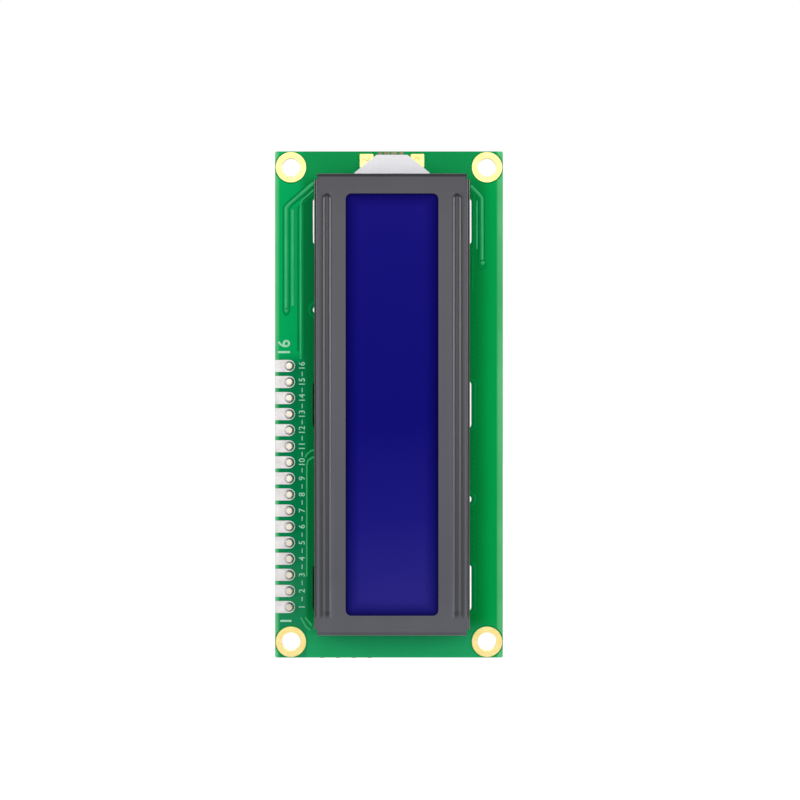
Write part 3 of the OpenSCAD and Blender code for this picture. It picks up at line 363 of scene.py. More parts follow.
finishes = {
    "mask": maskFinish(),
    "gap": plainFinish("maskOverLaminate", (greens["gap"], tint(0, 138, 70)), rough=(0.3, 0.42),
    sheen=greens["sheen"]),
    "track": plainFinish("maskOverCopper", (tint(52, 174, 108), tint(70, 188, 118)), rough=(0.26, 0.38),
                         sheen=greens["sheen"]),
    "pour": plainFinish("maskOverWideCopper", (tint(0, 160, 82), tint(8, 172, 94)), rough=(0.28, 0.4),
                        sheen=greens["sheen"]),
    "paint": paintFinish(),
    "film": filmFinish(),
    "glass": plainFinish("plateGlass", (tint(196, 214, 214), tint(206, 222, 220)), rough=(0.04, 0.08),
    specular=0.5),
    "crystal": plainFinish("crystalLayer", (tint(30, 30, 90), tint(36, 36, 100)), rough=(0.2, 0.3)),
    "seal": plainFinish("sealResin", (tint(206, 206, 190), tint(214, 214, 200))),
    "elastomer": plainFinish("stripRubber", (tint(206, 150, 160), tint(216, 160, 168)), rough=(0.6, 0.75),
    stretch=(1, 1, 12)),
    "whitePlastic": plainFinish("housingPlastic", (tint(228, 227, 231), tint(236, 236, 239)), patch=200,
                                rough=(0.42, 0.52), grain=2600, relief=0.000008, specular=0.3),
    "guide": plainFinish("guideAcrylic", (tint(220, 230, 232), tint(228, 236, 238)), rough=(0.08, 0.14),
    specular=0.5),
    "phosphor": plainFinish("lampPhosphor", (tint(232, 222, 150), tint(240, 230, 160)), rough=(0.3, 0.4)),
    "gold": plainFinish("goldPlate", (tint(250, 226, 140), tint(255, 236, 168)), patch=700,
    rough=(0.3, 0.5), grain=6000,
                        relief=0.00001, metal=1.0, specular=0.5),
    "goldDull": plainFinish("goldFlash", (tint(226, 188, 96), tint(246, 214, 128)), patch=900,
    rough=(0.35, 0.55),
                            grain=6000, relief=0.000012, metal=1.0, specular=0.5),
    "tin": plainFinish("tinPlate", (tint(214, 213, 214), tint(236, 234, 233)), patch=900,
    rough=(0.3, 0.46), grain=5000,
                       relief=0.00001, metal=1.0, specular=0.5),
    "padTin": plainFinish("padTinning", (tint(216, 212, 212), tint(240, 237, 236)), patch=700,
    rough=(0.4, 0.6),
                          grain=4000, relief=0.00002, metal=0.55, specular=0.5),
    "oldTin": plainFinish("oldTinning", (tint(110, 104, 80), tint(150, 142, 110)), patch=1500,
    rough=(0.4, 0.55), metal=0.6),
    "solder": plainFinish("solderMetal", (tint(196, 195, 196), tint(226, 224, 223)), patch=1600,
    rough=(0.2, 0.38),
                          grain=5200, relief=0.00002, metal=1.0, specular=0.5),
    "pin": plainFinish("pinPlate", (tint(214, 204, 176), tint(232, 224, 200)), patch=600,
    rough=(0.24, 0.4), grain=5200,
                       relief=0.000008, metal=1.0, specular=0.5, stretch=(1, 1, 0.2)),
    "resin": plainFinish("pottingResin", (tint(30, 31, 34), tint(44, 45, 49)), patch=260, rough=(0.3, 0.5),
    grain=1500,
                         relief=0.00006, specular=0.4),
    "chip": plainFinish("mouldedEpoxy", (tint(62, 60, 65), tint(72, 70, 76)), patch=500, rough=(0.5, 0.66),
    grain=4200,
                        relief=0.00002, specular=0.3),
    "glaze": plainFinish("resistorGlaze", (tint(26, 26, 28), tint(38, 38, 40)), rough=(0.2, 0.34),
    specular=0.4),
    "tan": plainFinish("capacitorCeramic", (tint(150, 122, 92), tint(168, 140, 108)), rough=(0.4, 0.55)),
    "header": plainFinish("headerPlastic", (tint(34, 34, 37), tint(44, 44, 48)), patch=400,
    rough=(0.42, 0.56), grain=3600,
                          relief=0.00002, specular=0.3),
    "blackMask": plainFinish("blackMask", (tint(18, 18, 24), tint(30, 30, 38)), patch=160,
    rough=(0.24, 0.36), grain=2800,
                             relief=0.000006, specular=0.3),
    "blackTrack": plainFinish("blackMaskOverCopper", (tint(48, 48, 58), tint(60, 60, 70)), patch=400,
    rough=(0.24, 0.36),
                              specular=0.35),
    "bluePlastic": plainFinish("trimmerPlastic", (tint(56, 132, 240), tint(72, 150, 252)), patch=300,
    rough=(0.36, 0.48),
                               grain=3000, relief=0.00001, specular=0.3),
    "rotor": plainFinish("rotorMetal", (tint(104, 104, 110), tint(128, 128, 134)), patch=1200,
    rough=(0.32, 0.5), grain=6000,
                         relief=0.00002, metal=1.0, specular=0.5),
    "brass": plainFinish("wiperBrass", (tint(220, 186, 110), tint(234, 200, 124)), rough=(0.25, 0.35),
    metal=1.0),
    "alumina": plainFinish("elementCeramic", (tint(222, 218, 206), tint(230, 226, 216)), rough=(0.5, 0.6)),
    "lampClear": plainFinish("powerLampLens", (tint(232, 200, 192), tint(242, 214, 206)),
    rough=(0.18, 0.28), specular=0.4),
    "capPlastic": plainFinish("jumperPlastic", (tint(86, 86, 93), tint(98, 98, 106)), patch=260,
    rough=(0.42, 0.56),
                              grain=3200, relief=0.00002, specular=0.3),
    "copper": plainFinish("contactBronze", (tint(214, 146, 116), tint(228, 162, 132)), patch=900,
    rough=(0.28, 0.42),
                          metal=1.0, specular=0.5),
    "ink": plainFinish("whiteInk", (tint(148, 214, 178), tint(178, 230, 200)), patch=1400,
    rough=(0.5, 0.65), grain=7000,
                       relief=0.00001),
    "inkGrey": plainFinish("paleInk", (tint(176, 178, 184), tint(204, 205, 210)), patch=1400,
    rough=(0.5, 0.65), grain=7000,
                           relief=0.00001),
    "hole": plainFinish("holeShadow", (tint(10, 50, 28), tint(14, 60, 34)), rough=(0.5, 0.6), specular=0.1),
}
print("finishes made:", len(finishes))

nodeFinish = {
    "display_board": "mask", "bezel": "paint", "front_polarizer": "film", "front_glass": "glass",
    "cell_seal": "seal",
    "liquid_crystal": "crystal", "rear_glass": "glass", "rear_polarizer": "crystal",
    "left_elastomer": "elastomer",
    "right_elastomer": "elastomer", "diffuser_film": "whitePlastic", "light_guide": "guide",
    "reflector_film": "whitePlastic", "backlight_frame": "whitePlastic", "backlight_lamp": "phosphor",
    "lamp_leads": "tin", "lamp_solder": "solder", "controller_cap": "resin", "driver_cap": "resin",
    "board_resistors": "glaze", "board_resistor_ends": "tin", "header_pins": "pin", "header_spacer": "header",
    "display_solder": "solder", "adapter_solder": "solder", "adapter_board": "blackMask",
    "trimmer_housing": "bluePlastic", "trimmer_rotor": "rotor", "trimmer_wiper": "brass",
    "trimmer_element": "alumina",
    "trimmer_leads": "tin", "expander_body": "chip", "expander_leads": "tin", "adapter_resistors": "glaze",
    "adapter_resistor_ends": "tin", "adapter_capacitors": "tan", "adapter_capacitor_ends": "tin",
    "transistor_body": "chip", "transistor_leads": "tin", "power_lamp": "lampClear",
    "power_lamp_ends": "goldDull",
    "serial_header": "header", "serial_pins": "pin", "jumper_header": "header", "jumper_pins": "pin",
    "through_solder": "solder", "jumper_cap": "capPlastic", "jumper_contact": "copper",
}
for nodeName, finishName in nodeFinish.items():
    node = nodes[nodeName]
    if not node.data.materials:
        node.data.materials.append(finishes[finishName])
    for slotPlace in node.material_slots:
        slotPlace.material = finishes[finishName]


# ---- flat work on the boards: drawn lying down, then stood against a board's face

profiles = {}


def stripProfile(width, height):
    # section of a track, pad edge or ink line: flat top, sloping sides
    key = (round(width, 3), round(height, 3))
    if key not in profiles:
        curve = bpy.data.curves.new("profile", "CURVE")
        spline = curve.splines.new("POLY")
        half, top = width / 2 * mm, (width / 2 - min(height, width / 4)) * mm
        corners = [(-half, 0), (half, 0), (top, height * mm), (-top, height * mm)]
        spline.points.add(3)
        for point, (x, y) in zip(spline.points, corners):
            point.co = (x, y, 0, 1)
        spline.use_cyclic_u = True
        profiles[key] = bpy.data.objects.new("profile", curve)
        bpy.context.scene.collection.objects.link(profiles[key])
    return profiles[key]


def drawStrips(paths, width, height, closed=False):
    curve = bpy.data.curves.new("strip", "CURVE")
    curve.dimensions = "3D"
    curve.twist_mode = "Z_UP"
    for path in paths:
        spline = curve.splines.new("POLY")
        spline.points.add(len(path) - 1)
        for point, (x, z) in zip(spline.points, path):
            point.co = (x * mm, z * mm, 0, 1)
        spline.use_cyclic_u = closed
    curve.bevel_mode = "OBJECT"
    curve.bevel_object = stripProfile(width, height)
    curve.use_fill_caps = True
    strip = bpy.data.objects.new("strip", curve)
    bpy.context.scene.collection.objects.link(strip)
    pickOnly(strip)
    bpy.ops.object.convert(target="MESH")
    return bpy.context.view_layer.objects.active


def circlePath(x, z, radius, count=32, start=0.0, sweep=360.0):
    steps = count if sweep >= 360 else count + 1
    return [
        (x + radius * math.cos(math.radians(start + sweep * i / count)),
         z + radius * math.sin(math.radians(start + sweep * i / count))) for i in range(steps)
    ]


def drawRings(places, inner, outer, height, count=32):
    # flat rings, such as the pad round a hole
    width = outer - inner
    return drawStrips([circlePath(x, z, (inner + outer) / 2, count) for x, z in places], width, height,
        closed=True)


def drawDiscs(places, radius, height, count=20):
    discs = []
    for x, z in places:
        deselectAll()
        bpy.ops.mesh.primitive_cylinder_add(vertices=count, radius=radius * mm, depth=height * mm,
                                            location=(x * mm, z * mm, height / 2 * mm))
        discs.append(bpy.context.object)
    disc = joinPieces(discs)
    selectFaces(disc, lambda centre, normal: normal.z > 0.9)
    bpy.ops.mesh.inset(thickness=radius * 0.12 * mm, depth=0)
    bpy.ops.object.mode_set(mode="OBJECT")
    return disc


def drawPlates(boxes, height, corner=0.12, segments=2):
    # flat pads with round corners: (left, right, low, high) each
    plates = []
    for left, right, low, high in boxes:
        deselectAll()
        bpy.ops.mesh.primitive_cube_add(size=1, location=((left + right) / 2 * mm, (low + high) / 2 * mm,
            height / 2 * mm),
                                        scale=((right - left) * mm, (high - low) * mm, height * mm))
        plates.append(bpy.context.object)
    plate = joinPieces(plates)
    applyPlace(plate)
    bpy.ops.object.mode_set(mode="EDIT")
    bpy.ops.mesh.select_mode(type="EDGE")
    bpy.ops.mesh.select_all(action="DESELECT")
    mesh = bmesh.from_edit_mesh(plate.data)
    for edge in mesh.edges:
        way = edge.verts[0].co - edge.verts[1].co
        edge.select_set(abs(way.z) > height * 0.5 * mm and abs(way.x) + abs(way.y) < 1e-7)
    bmesh.update_edit_mesh(plate.data)
    bpy.ops.mesh.bevel(offset=corner * mm, segments=segments, affect="EDGES")
    bpy.ops.object.mode_set(mode="OBJECT")
    return plate


def drawOutlines(paths, height):
    # filled flat shapes, each from its outline
    made = []
    for path in paths:
        curve = bpy.data.curves.new("outline", "CURVE")
        curve.dimensions = "2D"
        curve.fill_mode = "BOTH"
        curve.extrude = height / 2 * mm
        spline = curve.splines.new("POLY")
        spline.points.add(len(path) - 1)
        for point, (x, z) in zip(spline.points, path):
            point.co = (x * mm, z * mm, 0, 1)
        spline.use_cyclic_u = True
        outline = bpy.data.objects.new("outline", curve)
        bpy.context.scene.collection.objects.link(outline)
        pickOnly(outline)
        bpy.ops.object.convert(target="MESH")
        outline = bpy.context.view_layer.objects.active
        outline.location.z = height / 2 * mm
        made.append(applyPlace(outline))
    return joinPieces(made)


def turnProfile(profile, steps, x=0.0, z=0.0):
    # a section of radius and level, spun round an axis that runs through the board
    deselectAll()
    bpy.ops.mesh.primitive_plane_add(size=1)
    turned = bpy.context.object
    bpy.ops.object.mode_set(mode="EDIT")
    bpy.ops.mesh.select_all(action="SELECT")
    bpy.ops.mesh.delete(type="VERT")
    mesh = bmesh.from_edit_mesh(turned.data)
    corners = [mesh.verts.new((radius * mm, level * mm, 0)) for radius, level in profile]
    for first, second in zip(corners, corners[1:]):
        mesh.edges.new((first, second))
    bmesh.update_edit_mesh(turned.data)
    bpy.ops.mesh.select_all(action="SELECT")
    bpy.ops.mesh.spin(steps=steps, angle=math.tau, center=(0, 0, 0), axis=(0, 1, 0))
    bpy.ops.mesh.select_all(action="SELECT")
    bpy.ops.mesh.remove_doubles(threshold=0.002 * mm)
    bpy.ops.object.mode_set(mode="OBJECT")
    turned.location = (x * mm, 0, z * mm)
    return applyPlace(turned)


def writeNumbers(labels, height):
    # plain numbers: (text, x, z, size, turn in degrees) each
    made = []
    for text, x, z, size, turn in labels:
        deselectAll()
        bpy.ops.object.text_add(location=(x * mm, z * mm, 0), rotation=(0, 0, math.radians(turn)))
        label = bpy.context.object
        label.data.body = text
        label.data.size = size * mm
        label.data.align_x = "CENTER"
        label.data.align_y = "CENTER"
        label.data.extrude = height / 2 * mm
        label.data.offset = size * 0.012 * mm
        label.data.resolution_u = 3
        bpy.ops.object.convert(target="MESH")
        label = bpy.context.object
        label.location.z += height / 2 * mm
        made.append(applyPlace(label))
    return joinPieces(made)


def standFront(piece, level=0.0):
    # from lying flat to the front of the display board
    applyPlace(piece)
    piece.matrix_world = Matrix.Translation((0, -level * mm, 0)) @ Matrix.Rotation(math.radians(90), 4, "X")
    return applyPlace(piece)


def standBack(piece, level):
    # from lying flat to a face that looks backwards; flat work for it is drawn with -z
    applyPlace(piece)
    piece.matrix_world = Matrix.Translation((0, level * mm, 0)) @ Matrix.Rotation(math.radians(-90), 4, "X")
    return applyPlace(piece)


def flip(paths):
    return [[(x, -z) for x, z in path] for path in paths]


def flipBoxes(boxes):
    return [(left, right, -high, -low) for left, right, low, high in boxes]


def flipPlaces(places):
    return [(x, -z) for x, z in places]


boardFacts = {
    "back": 1.6, "adapterBack": 5.74, "rowX": -15.75, "rowZ": -32.0, "pitch": 2.54, "pins": 16,
    "holeX": 15.5, "holeZ": 37.5,
}
rowPlaces = [
    (boardFacts["rowX"], boardFacts["rowZ"] + i * boardFacts["pitch"]) for i in range(boardFacts["pins"])
]
mountPlaces = [(x * boardFacts["holeX"], z * boardFacts["holeZ"]) for x in (-1, 1) for z in (-1, 1)]

# ---- display board, front: tracks, gaps, pads and numbers

frontWork = {
    "gapHeight": 0.012, "trackHeight": 0.035, "trackWidth": 0.5, "lineWidth": 0.3, "gapWidth": 0.3,
    "padHeight": 0.045, "padWidth": 1.9, "padInner": -14.85, "numberSize": 1.35, "inkHeight": 0.02,
    "ringInner": 1.47, "ringOuter": 2.42,
}
leftGaps = [
    [(-11.9, 35.6), (-16.1, 31.9), (-16.73, 31.2), (-16.73, 14.9), (-16.5, 14.3), (-16.25, 14.15),
    (-16.0, 14.3),
     (-15.76, 14.9), (-15.76, 31.0), (-15.3, 31.6), (-11.9, 34.55)],
    [(-11.9, 33.3), (-13.8, 31.6), (-14.42, 31.0), (-14.42, 8.4)],
]
leftTracks = [
    [(-11.9, 35.05), (-15.9, 31.55), (-16.25, 31.1), (-16.25, 15.0)],
    [(-15.18, 30.8), (-15.18, 15.6)],
]
leftLine = [
    [(-11.9, 33.9), (-13.6, 32.4), (-13.93, 31.9), (-13.93, 7.2)],
    [(-13.96, -33.6), (-13.1, -35.1), (-12.4, -35.7)],
    [(-13.25, -33.6), (-12.2, -34.9)],
    [(-11.6, -7.2), (-12.3, -7.3), (-13.0, -7.9), (-13.2, -8.4)],
    [(-11.6, -8.3), (-12.2, -8.4), (-12.8, -8.9), (-12.97, -9.6), (-12.97, -27.2)],
]
rightGaps = [
    [(12.9, 35.2), (14.65, 33.4), (15.12, 32.7), (15.12, 22.7), (15.4, 22.2), (15.2, 21.6), (14.7, 21.4),
    (14.27, 21.8),
     (14.27, 32.4)],
    [(12.9, 33.9), (13.4, 33.2), (13.4, 24.9), (13.0, 24.3)],
    [(13.2, 23.6), (13.15, 18.2)],
]
rightTracks = [[(12.9, 34.6), (14.3, 33.15), (14.69, 32.6), (14.69, 22.9)]]
rightLine = [[(13.86, 32.2), (13.86, 24.6)]]
frontDashes = [(13.6, 5.1), (-4.8, -12.4), (-16.2, -24.9)]


def keepOnBoard(path, margin=0.03):
    # an outline that would pass the board's edge follows the edge instead
    low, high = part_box("display_board")
    sideX, sideZ = high.x / mm - margin, high.z / mm - margin
    return [(max(-sideX, min(sideX, x)), max(-sideZ, min(sideZ, z))) for x, z in path]


def slotOutline(z, way):
    # the copper-free line that goes round the visible side of a bezel slot
    return [(12.9, z + way * 4.0), (13.35, z + way * 3.85), (13.55, z + way * 3.4), (13.55, z)]


def makeFrontTracks(work):
    dashes = []
    for top, bottom in frontDashes:
        count = int((top - bottom) / 0.8)
        dashes += [[(13.35, top - i * 0.8), (13.35, top - i * 0.8 - 0.45)] for i in range(count)]
    outlines = [slotOutline(z, way) for z in (-29, 0) for way in (-1, 1)]
    rings = [keepOnBoard(circlePath(x, z, work["ringOuter"] + 0.1, 48), 0.13) for x, z in mountPlaces]
    gaps = joinPieces([
        drawStrips(leftGaps + rightGaps + outlines, work["gapWidth"], work["gapHeight"]),
        drawStrips(dashes, 0.2, work["gapHeight"]),
        drawStrips(rings, 0.2, work["gapHeight"], closed=True),
        drawRings([(12.4, -15.0), (-11.4, 15.0)], 0.95, 1.35, work["gapHeight"], 24),
    ])
    setUp(standFront(gaps), "front_gaps", finishes["gap"])
    tracks = joinPieces([
        drawStrips(leftTracks + rightTracks, work["trackWidth"], work["trackHeight"]),
        drawStrips(leftLine + rightLine, work["lineWidth"], work["trackHeight"]),
        drawDiscs([(-16.25, 14.95), (14.82, 22.4)], 0.3, work["trackHeight"]),
    ])
    setUp(standFront(tracks), "front_tracks", finishes["track"])


def makeMountPads(work):
    # a plated hole: a barrel between two flat rings
    profile = [
        (work["ringInner"], -0.04), (work["ringOuter"] - 0.03, -0.04), (work["ringOuter"], 0.0),
        (work["ringOuter"], boardFacts["back"]), (work["ringOuter"] - 0.03, boardFacts["back"] + 0.04),
        (work["ringInner"], boardFacts["back"] + 0.04),
    ]
    rings = [turnProfile([profile[0], profile[1], profile[2]], 48, x, z) for x, z in mountPlaces]
    rings += [turnProfile([profile[3], profile[4], profile[5]], 48, x, z) for x, z in mountPlaces]
    rings += [turnProfile([profile[5], profile[0]], 48, x, z) for x, z in mountPlaces]
    setUp(joinPieces(rings), "mount_pads", finishes["gold"])


def rowPadPath(z, inner, width):
    # outline of one row pad: square at the board's edge, round at its inner end
    half = width / 2
    return [(-17.97, z - half)] + circlePath(inner - half, z, half, 12, -90, 180) + [(-17.97, z + half)]


def makeRowPads(work):
    pads = drawOutlines([rowPadPath(z, work["padInner"], work["padWidth"]) for _, z in rowPlaces],
        work["padHeight"])
    setUp(standFront(pads), "row_pads_front", finishes["padTin"])
    pads = drawOutlines([rowPadPath(-z, work["padInner"], work["padWidth"]) for _, z in rowPlaces],
        work["padHeight"])
    setUp(standBack(pads, boardFacts["back"]), "row_pads_back", finishes["goldDull"])


def makeFrontNumbers(work):
    labels = [(str(i + 1), -13.72, z, work["numberSize"], 90) for i, (_, z) in enumerate(rowPlaces)]
    labels += [("16", -16.5, 8.95, 2.7, 90), ("1", -16.2, -34.2, 2.5, 90)]
    numbers = writeNumbers(labels, work["inkHeight"])
    joints = [
        [(-13.72, (z + following) / 2 - 0.35), (-13.72, (z + following) / 2 + 0.35)]
        for (_, z), (_, following) in zip(rowPlaces, rowPlaces[1:])
    ]
    ink = joinPieces([numbers, drawStrips(joints, 0.16, work["inkHeight"])])
    setUp(standFront(ink, work["gapHeight"]), "pin_numbers", finishes["ink"])


def makeFrontLampPads(work):
    pads = drawPlates([(-4.62, -2.46, 37.45, 39.6), (3.44, 5.56, 37.45, 39.6)], work["padHeight"], 0.15)
    marks = drawStrips([[(-4.1, 38.9), (-3.4, 38.5), (-3.0, 39.0)],
        [(4.0, 38.8), (4.5, 39.1), (4.9, 38.7)]], 0.22, 0.09)
    setUp(standFront(joinPieces([pads, marks])), "lamp_pads_front", finishes["gold"])
    gaps = drawStrips([
        [(-4.85, 37.2), (-4.85, 39.75), (-2.3, 39.75)], [(5.78, 37.2), (5.78, 39.75), (3.3, 39.75)],
    ], work["gapWidth"], work["gapHeight"])
    setUp(standFront(gaps), "lamp_pad_gaps_front", finishes["gap"])
    bits = drawPlates([
        (-1.75, -1.1, 39.4, 39.95), (-0.8, 0.1, 39.45, 39.95), (0.35, 1.3, 39.4, 39.95),
        (1.6, 2.3, 39.45, 39.95),
    ], 0.09, 0.14)
    setUp(standFront(bits), "lamp_tinning_front", finishes["oldTin"])


makeFrontTracks(frontWork)
makeMountPads(frontWork)
makeRowPads(frontWork)
makeFrontNumbers(frontWork)
makeFrontLampPads(frontWork)
print("front work done")

# ---- display board, back: tracks, holes between layers, pads and ink, all as seen with +X right and +Z down

backWork = {
    "trackWidth": 0.42, "fineWidth": 0.24, "height": 0.035, "padHeight": 0.05, "ink": 0.22, "inkHeight": 0.02,
    "viaRadius": 0.36, "viaHeight": 0.05,
}
chipCaps = {
    "controller": {"x": 0.3, "z": -12.6, "ring": 7.05},
    "driver": {"x": -0.3, "z": 13.3, "ring": 5.85},
}
backTracks = [
    [(14.55, -32.6), (14.55, 22.4)],
    [(15.65, -32.8), (15.65, 22.9), (14.2, 24.5), (0.8, 24.5)],
    [(13.55, -25.3), (13.55, -15.8)],
    [(13.55, 3.7), (13.55, 23.3)],
    [(16.4, 23.6), (16.4, 34.5)],
    [(0.4, -34.8), (6.6, -34.8), (7.7, -36.0), (12.4, -36.0), (15.6, -32.8)],
    [(8.0, -35.1), (11.8, -35.1), (14.5, -32.6)],
    [(7.0, -36.9), (12.3, -36.9)],
    [(-13.6, 8.9), (-13.6, 17.0)],
    [(-14.5, 8.9), (-14.5, 13.8), (-16.2, 15.3)],
    [(-13.75, 26.5), (-13.75, 34.8), (-11.2, 37.5), (-4.8, 37.5)],
]
backVias = [
    (14.55, 22.4), (13.55, 23.3), (16.4, 23.6), (-16.2, 15.3), (-13.6, 17.0), (-13.75, 26.5), (0.8, 24.5),
    (16.4, 34.5),
    (8.0, -13.3), (8.0, -12.3), (8.0, -11.35), (8.0, -10.4), (8.0, -9.5),
]
fanVias = {
    "controller": [-23.6, -22.3, -21.0, -19.7, -18.4, -17.2, -9.4, -8.2, -7.0, -5.7],
    "driver": [5.7, 7.0, 8.3, 9.6, 10.8, 12.2, 13.5, 21.0, 22.2],
}


def fanPath(cap, startX, startZ):
    # level from its hole, then slanting until it meets the resin's ring
    fromRing = abs(startZ - cap["z"]) * 0.62
    angle = math.atan2(fromRing * (1 if startZ > cap["z"] else -1), cap["ring"])
    endX = cap["x"] + (cap["ring"] - 0.35) * math.cos(angle)
    endZ = cap["z"] + (cap["ring"] - 0.35) * math.sin(angle)
    slant = min(abs(startZ - endZ), startX - endX - 0.4)
    return [(startX, startZ), (endX + slant, startZ), (endX, endZ)]


def sideFan(cap, first, last, count, reach):
    # short tracks that leave the resin on one side, evenly turned
    paths = []
    for i in range(count):
        angle = math.radians(first + (last - first) * i / (count - 1))
        near, far = cap["ring"] - 0.5, cap["ring"] + reach * (0.7 + 0.3 * math.cos(i * 1.7))
        paths.append([
            (cap["x"] + near * math.cos(angle), cap["z"] + near * math.sin(angle)),
            (cap["x"] + far * math.cos(angle), cap["z"] + far * math.sin(angle)),
        ])
    return paths


def makeBackTracks(work):
    fans = [fanPath(chipCaps[name], 12.7, z) for name, places in fanVias.items() for z in places]
    fans += sideFan(chipCaps["controller"], -75, -25, 9, 2.6)
    fans += sideFan(chipCaps["driver"], 60, 150, 14, 2.4) + sideFan(chipCaps["driver"], 160, 235, 10, 3.0)
    fans += sideFan(chipCaps["controller"], 25, 80, 9, 2.2)
    spots = backVias + [(12.7, z) for places in fanVias.values() for z in places]
    tracks = joinPieces([
        drawStrips(flip(backTracks), work["trackWidth"], work["height"]),
        drawStrips(flip(fans), work["fineWidth"], work["height"]),
        drawStrips([[(17.2, 34.6), (17.2, -35.6)]], 0.55, work["height"]),
        drawDiscs(flipPlaces(spots), work["viaRadius"], work["viaHeight"], 16),
    ])
    setUp(standBack(tracks, boardFacts["back"]), "back_tracks", finishes["track"])
    holes = drawDiscs(flipPlaces(spots), 0.14, work["viaHeight"] + 0.012, 10)
    setUp(standBack(holes, boardFacts["back"]), "back_via_holes", finishes["hole"])


def makeBackGaps(work):
    beside = []
    for path in backTracks[:6]:
        beside += [[(x + 0.42, z) for x, z in path], [(x - 0.42, z) for x, z in path]]
    rings = [keepOnBoard(circlePath(x, z, frontWork["ringOuter"] + 0.12, 48), 0.13) for x, z in mountPlaces]
    gaps = joinPieces([
        drawStrips(flip([keepOnBoard(path, 0.2) for path in beside]), 0.2, 0.012),
        drawStrips(rings, 0.22, 0.012, closed=True),
    ])
    setUp(standBack(gaps, boardFacts["back"]), "back_gaps", finishes["gap"])


def boxPath(left, right, low, high):
    return [(left, low), (right, low), (right, high), (left, high)]


def bracketPaths(left, right, low, high, leg=0.7):
    # two facing square brackets, the usual mark round a small part
    return [
        [(left + leg, low), (left, low), (left, high), (left + leg, high)],
        [(right - leg, low), (right, low), (right, high), (right - leg, high)],
    ]


def makeBackInk(work):
    boxes = [
        boxPath(2.2, 7.8, -33.4, -28.4), boxPath(2.7, 7.6, -24.9, -20.0), boxPath(-4.4, 1.0, 27.9, 30.7),
        boxPath(1.45, 4.3, 26.5, 32.7), boxPath(5.0, 7.8, 26.5, 32.7),
    ]
    lines = [[(5.4, -33.4), (5.4, -28.4)], [(5.1, -24.9), (5.1, -20.0)]]
    lines += [[(-14.0, 19.2), (-14.0, 16.9), (-10.9, 16.9), (-10.9, 19.2)],
        [(-14.0, 20.9), (-14.0, 23.3), (-10.9, 23.3), (-10.9, 20.9)]]
    for x in (3.1, 6.6):
        lines += [[(x - 0.6, 24.9 + 0.6), (x + 0.6, 24.9 + 0.6)], [(x, 24.9), (x, 24.9 + 1.2)]]
    rings = [circlePath(cap["x"], -cap["z"], cap["ring"], 64) for cap in chipCaps.values()]
    rings += [circlePath(-5.55, -z, 1.35, 28) for z in (27.1, 29.5, 31.9)]
    marks = joinPieces([
        drawStrips(flip(boxes), work["ink"], work["inkHeight"], closed=True),
        drawStrips(flip(lines), work["ink"], work["inkHeight"]),
        drawStrips(rings, work["ink"], work["inkHeight"], closed=True),
    ])
    numbers = writeNumbers([("1", -5.2, -35.0, 1.3, 0), ("2", 3.9, -35.0, 1.3, 0)], work["inkHeight"])
    ink = joinPieces([marks, numbers])
    setUp(standBack(ink, boardFacts["back"]), "back_ink", finishes["ink"])


def makeBackPads(work):
    plates = []
    for z in (-29, 0, 29):
        plates += [(8.95, 11.62, z - 3.75, z + 3.75), (-10.62, -8.0, z - 3.75, z + 3.75)]
    for x in (-3.65, -2.4, -1.1, 0.2):
        plates += [(x - 0.33, x + 0.33, 25.4, 27.5), (x - 0.33, x + 0.33, 31.3, 33.3)]
    for left in (1.8, 5.2):
        plates += [(left, left + 2.0, 27.0, 28.8), (left, left + 2.0, 30.5, 32.1)]
    plates += [(5.4, 6.9, -24.5, -22.7), (5.4, 6.9, -22.0, -20.2)]
    plates += [(-4.6, -2.4, 37.4, 39.7), (3.45, 5.55, 37.4, 39.7)]
    halves = []
    for z in (27.1, 29.5, 31.9):
        for way in (0, 180):
            halves.append([
                (-5.55 + 1.0 * math.sin(math.radians(a + way)) + 0.12 * math.cos(math.radians(way)),
                 -z + 1.0 * math.cos(math.radians(a + way))) for a in range(8, 173, 15)
            ])
    pads = joinPieces([
        drawPlates(flipBoxes(plates), work["padHeight"], 0.14),
        drawRings([(-0.77, -36.1), (1.77, -36.1)], 0.52, 1.0, work["padHeight"], 28),
        drawOutlines(halves, work["padHeight"]),
    ])
    setUp(standBack(pads, boardFacts["back"]), "back_pads", finishes["goldDull"])


def roundBit(x, y, z, radius, height, squash=1.0):
    # a bead of solder that has set on a flat face
    deselectAll()
    bpy.ops.mesh.primitive_uv_sphere_add(segments=16, ring_count=10, radius=1,
        location=(x * mm, y * mm, z * mm),
                                         scale=(radius * mm, height * mm, radius * squash * mm))
    bead = applyPlace(bpy.context.object)
    bpy.ops.object.mode_set(mode="EDIT")
    bpy.ops.mesh.select_all(action="SELECT")
    bpy.ops.mesh.bisect(plane_co=(0, y * mm, 0), plane_no=(0, 1, 0), clear_inner=True, use_fill=True)
    bpy.ops.object.mode_set(mode="OBJECT")
    bpy.ops.object.shade_smooth()
    return bead


def makeBackSolder(work):
    top = boardFacts["back"] + work["padHeight"]
    beads = [roundBit(-5.55, top, 31.9, 0.85, 0.4, 0.7), roundBit(-1.0, top, 39.0, 0.5, 0.2),
        roundBit(1.9, top, 39.15, 0.55, 0.2)]
    for x, z in ((1.75, -30.9), (4.1, -30.9), (6.45, -30.9), (3.85, -22.3)):
        beads += [roundBit(x, boardFacts["back"], z + way * 1.25, 0.65, 0.3, 0.8) for way in (-1, 1)]
    beads += [roundBit(-12.6, boardFacts["back"], 20.1 + way * 1.85, 0.95, 0.34, 0.7) for way in (-1, 1)]
    setUp(joinPieces(beads), "back_solder", finishes["solder"])


makeBackGaps(backWork)
makeBackTracks(backWork)
makeBackInk(backWork)
makeBackPads(backWork)
makeBackSolder(backWork)
print("back work done")

# ---- adapter board: copper under black mask, ink, pads and numbers

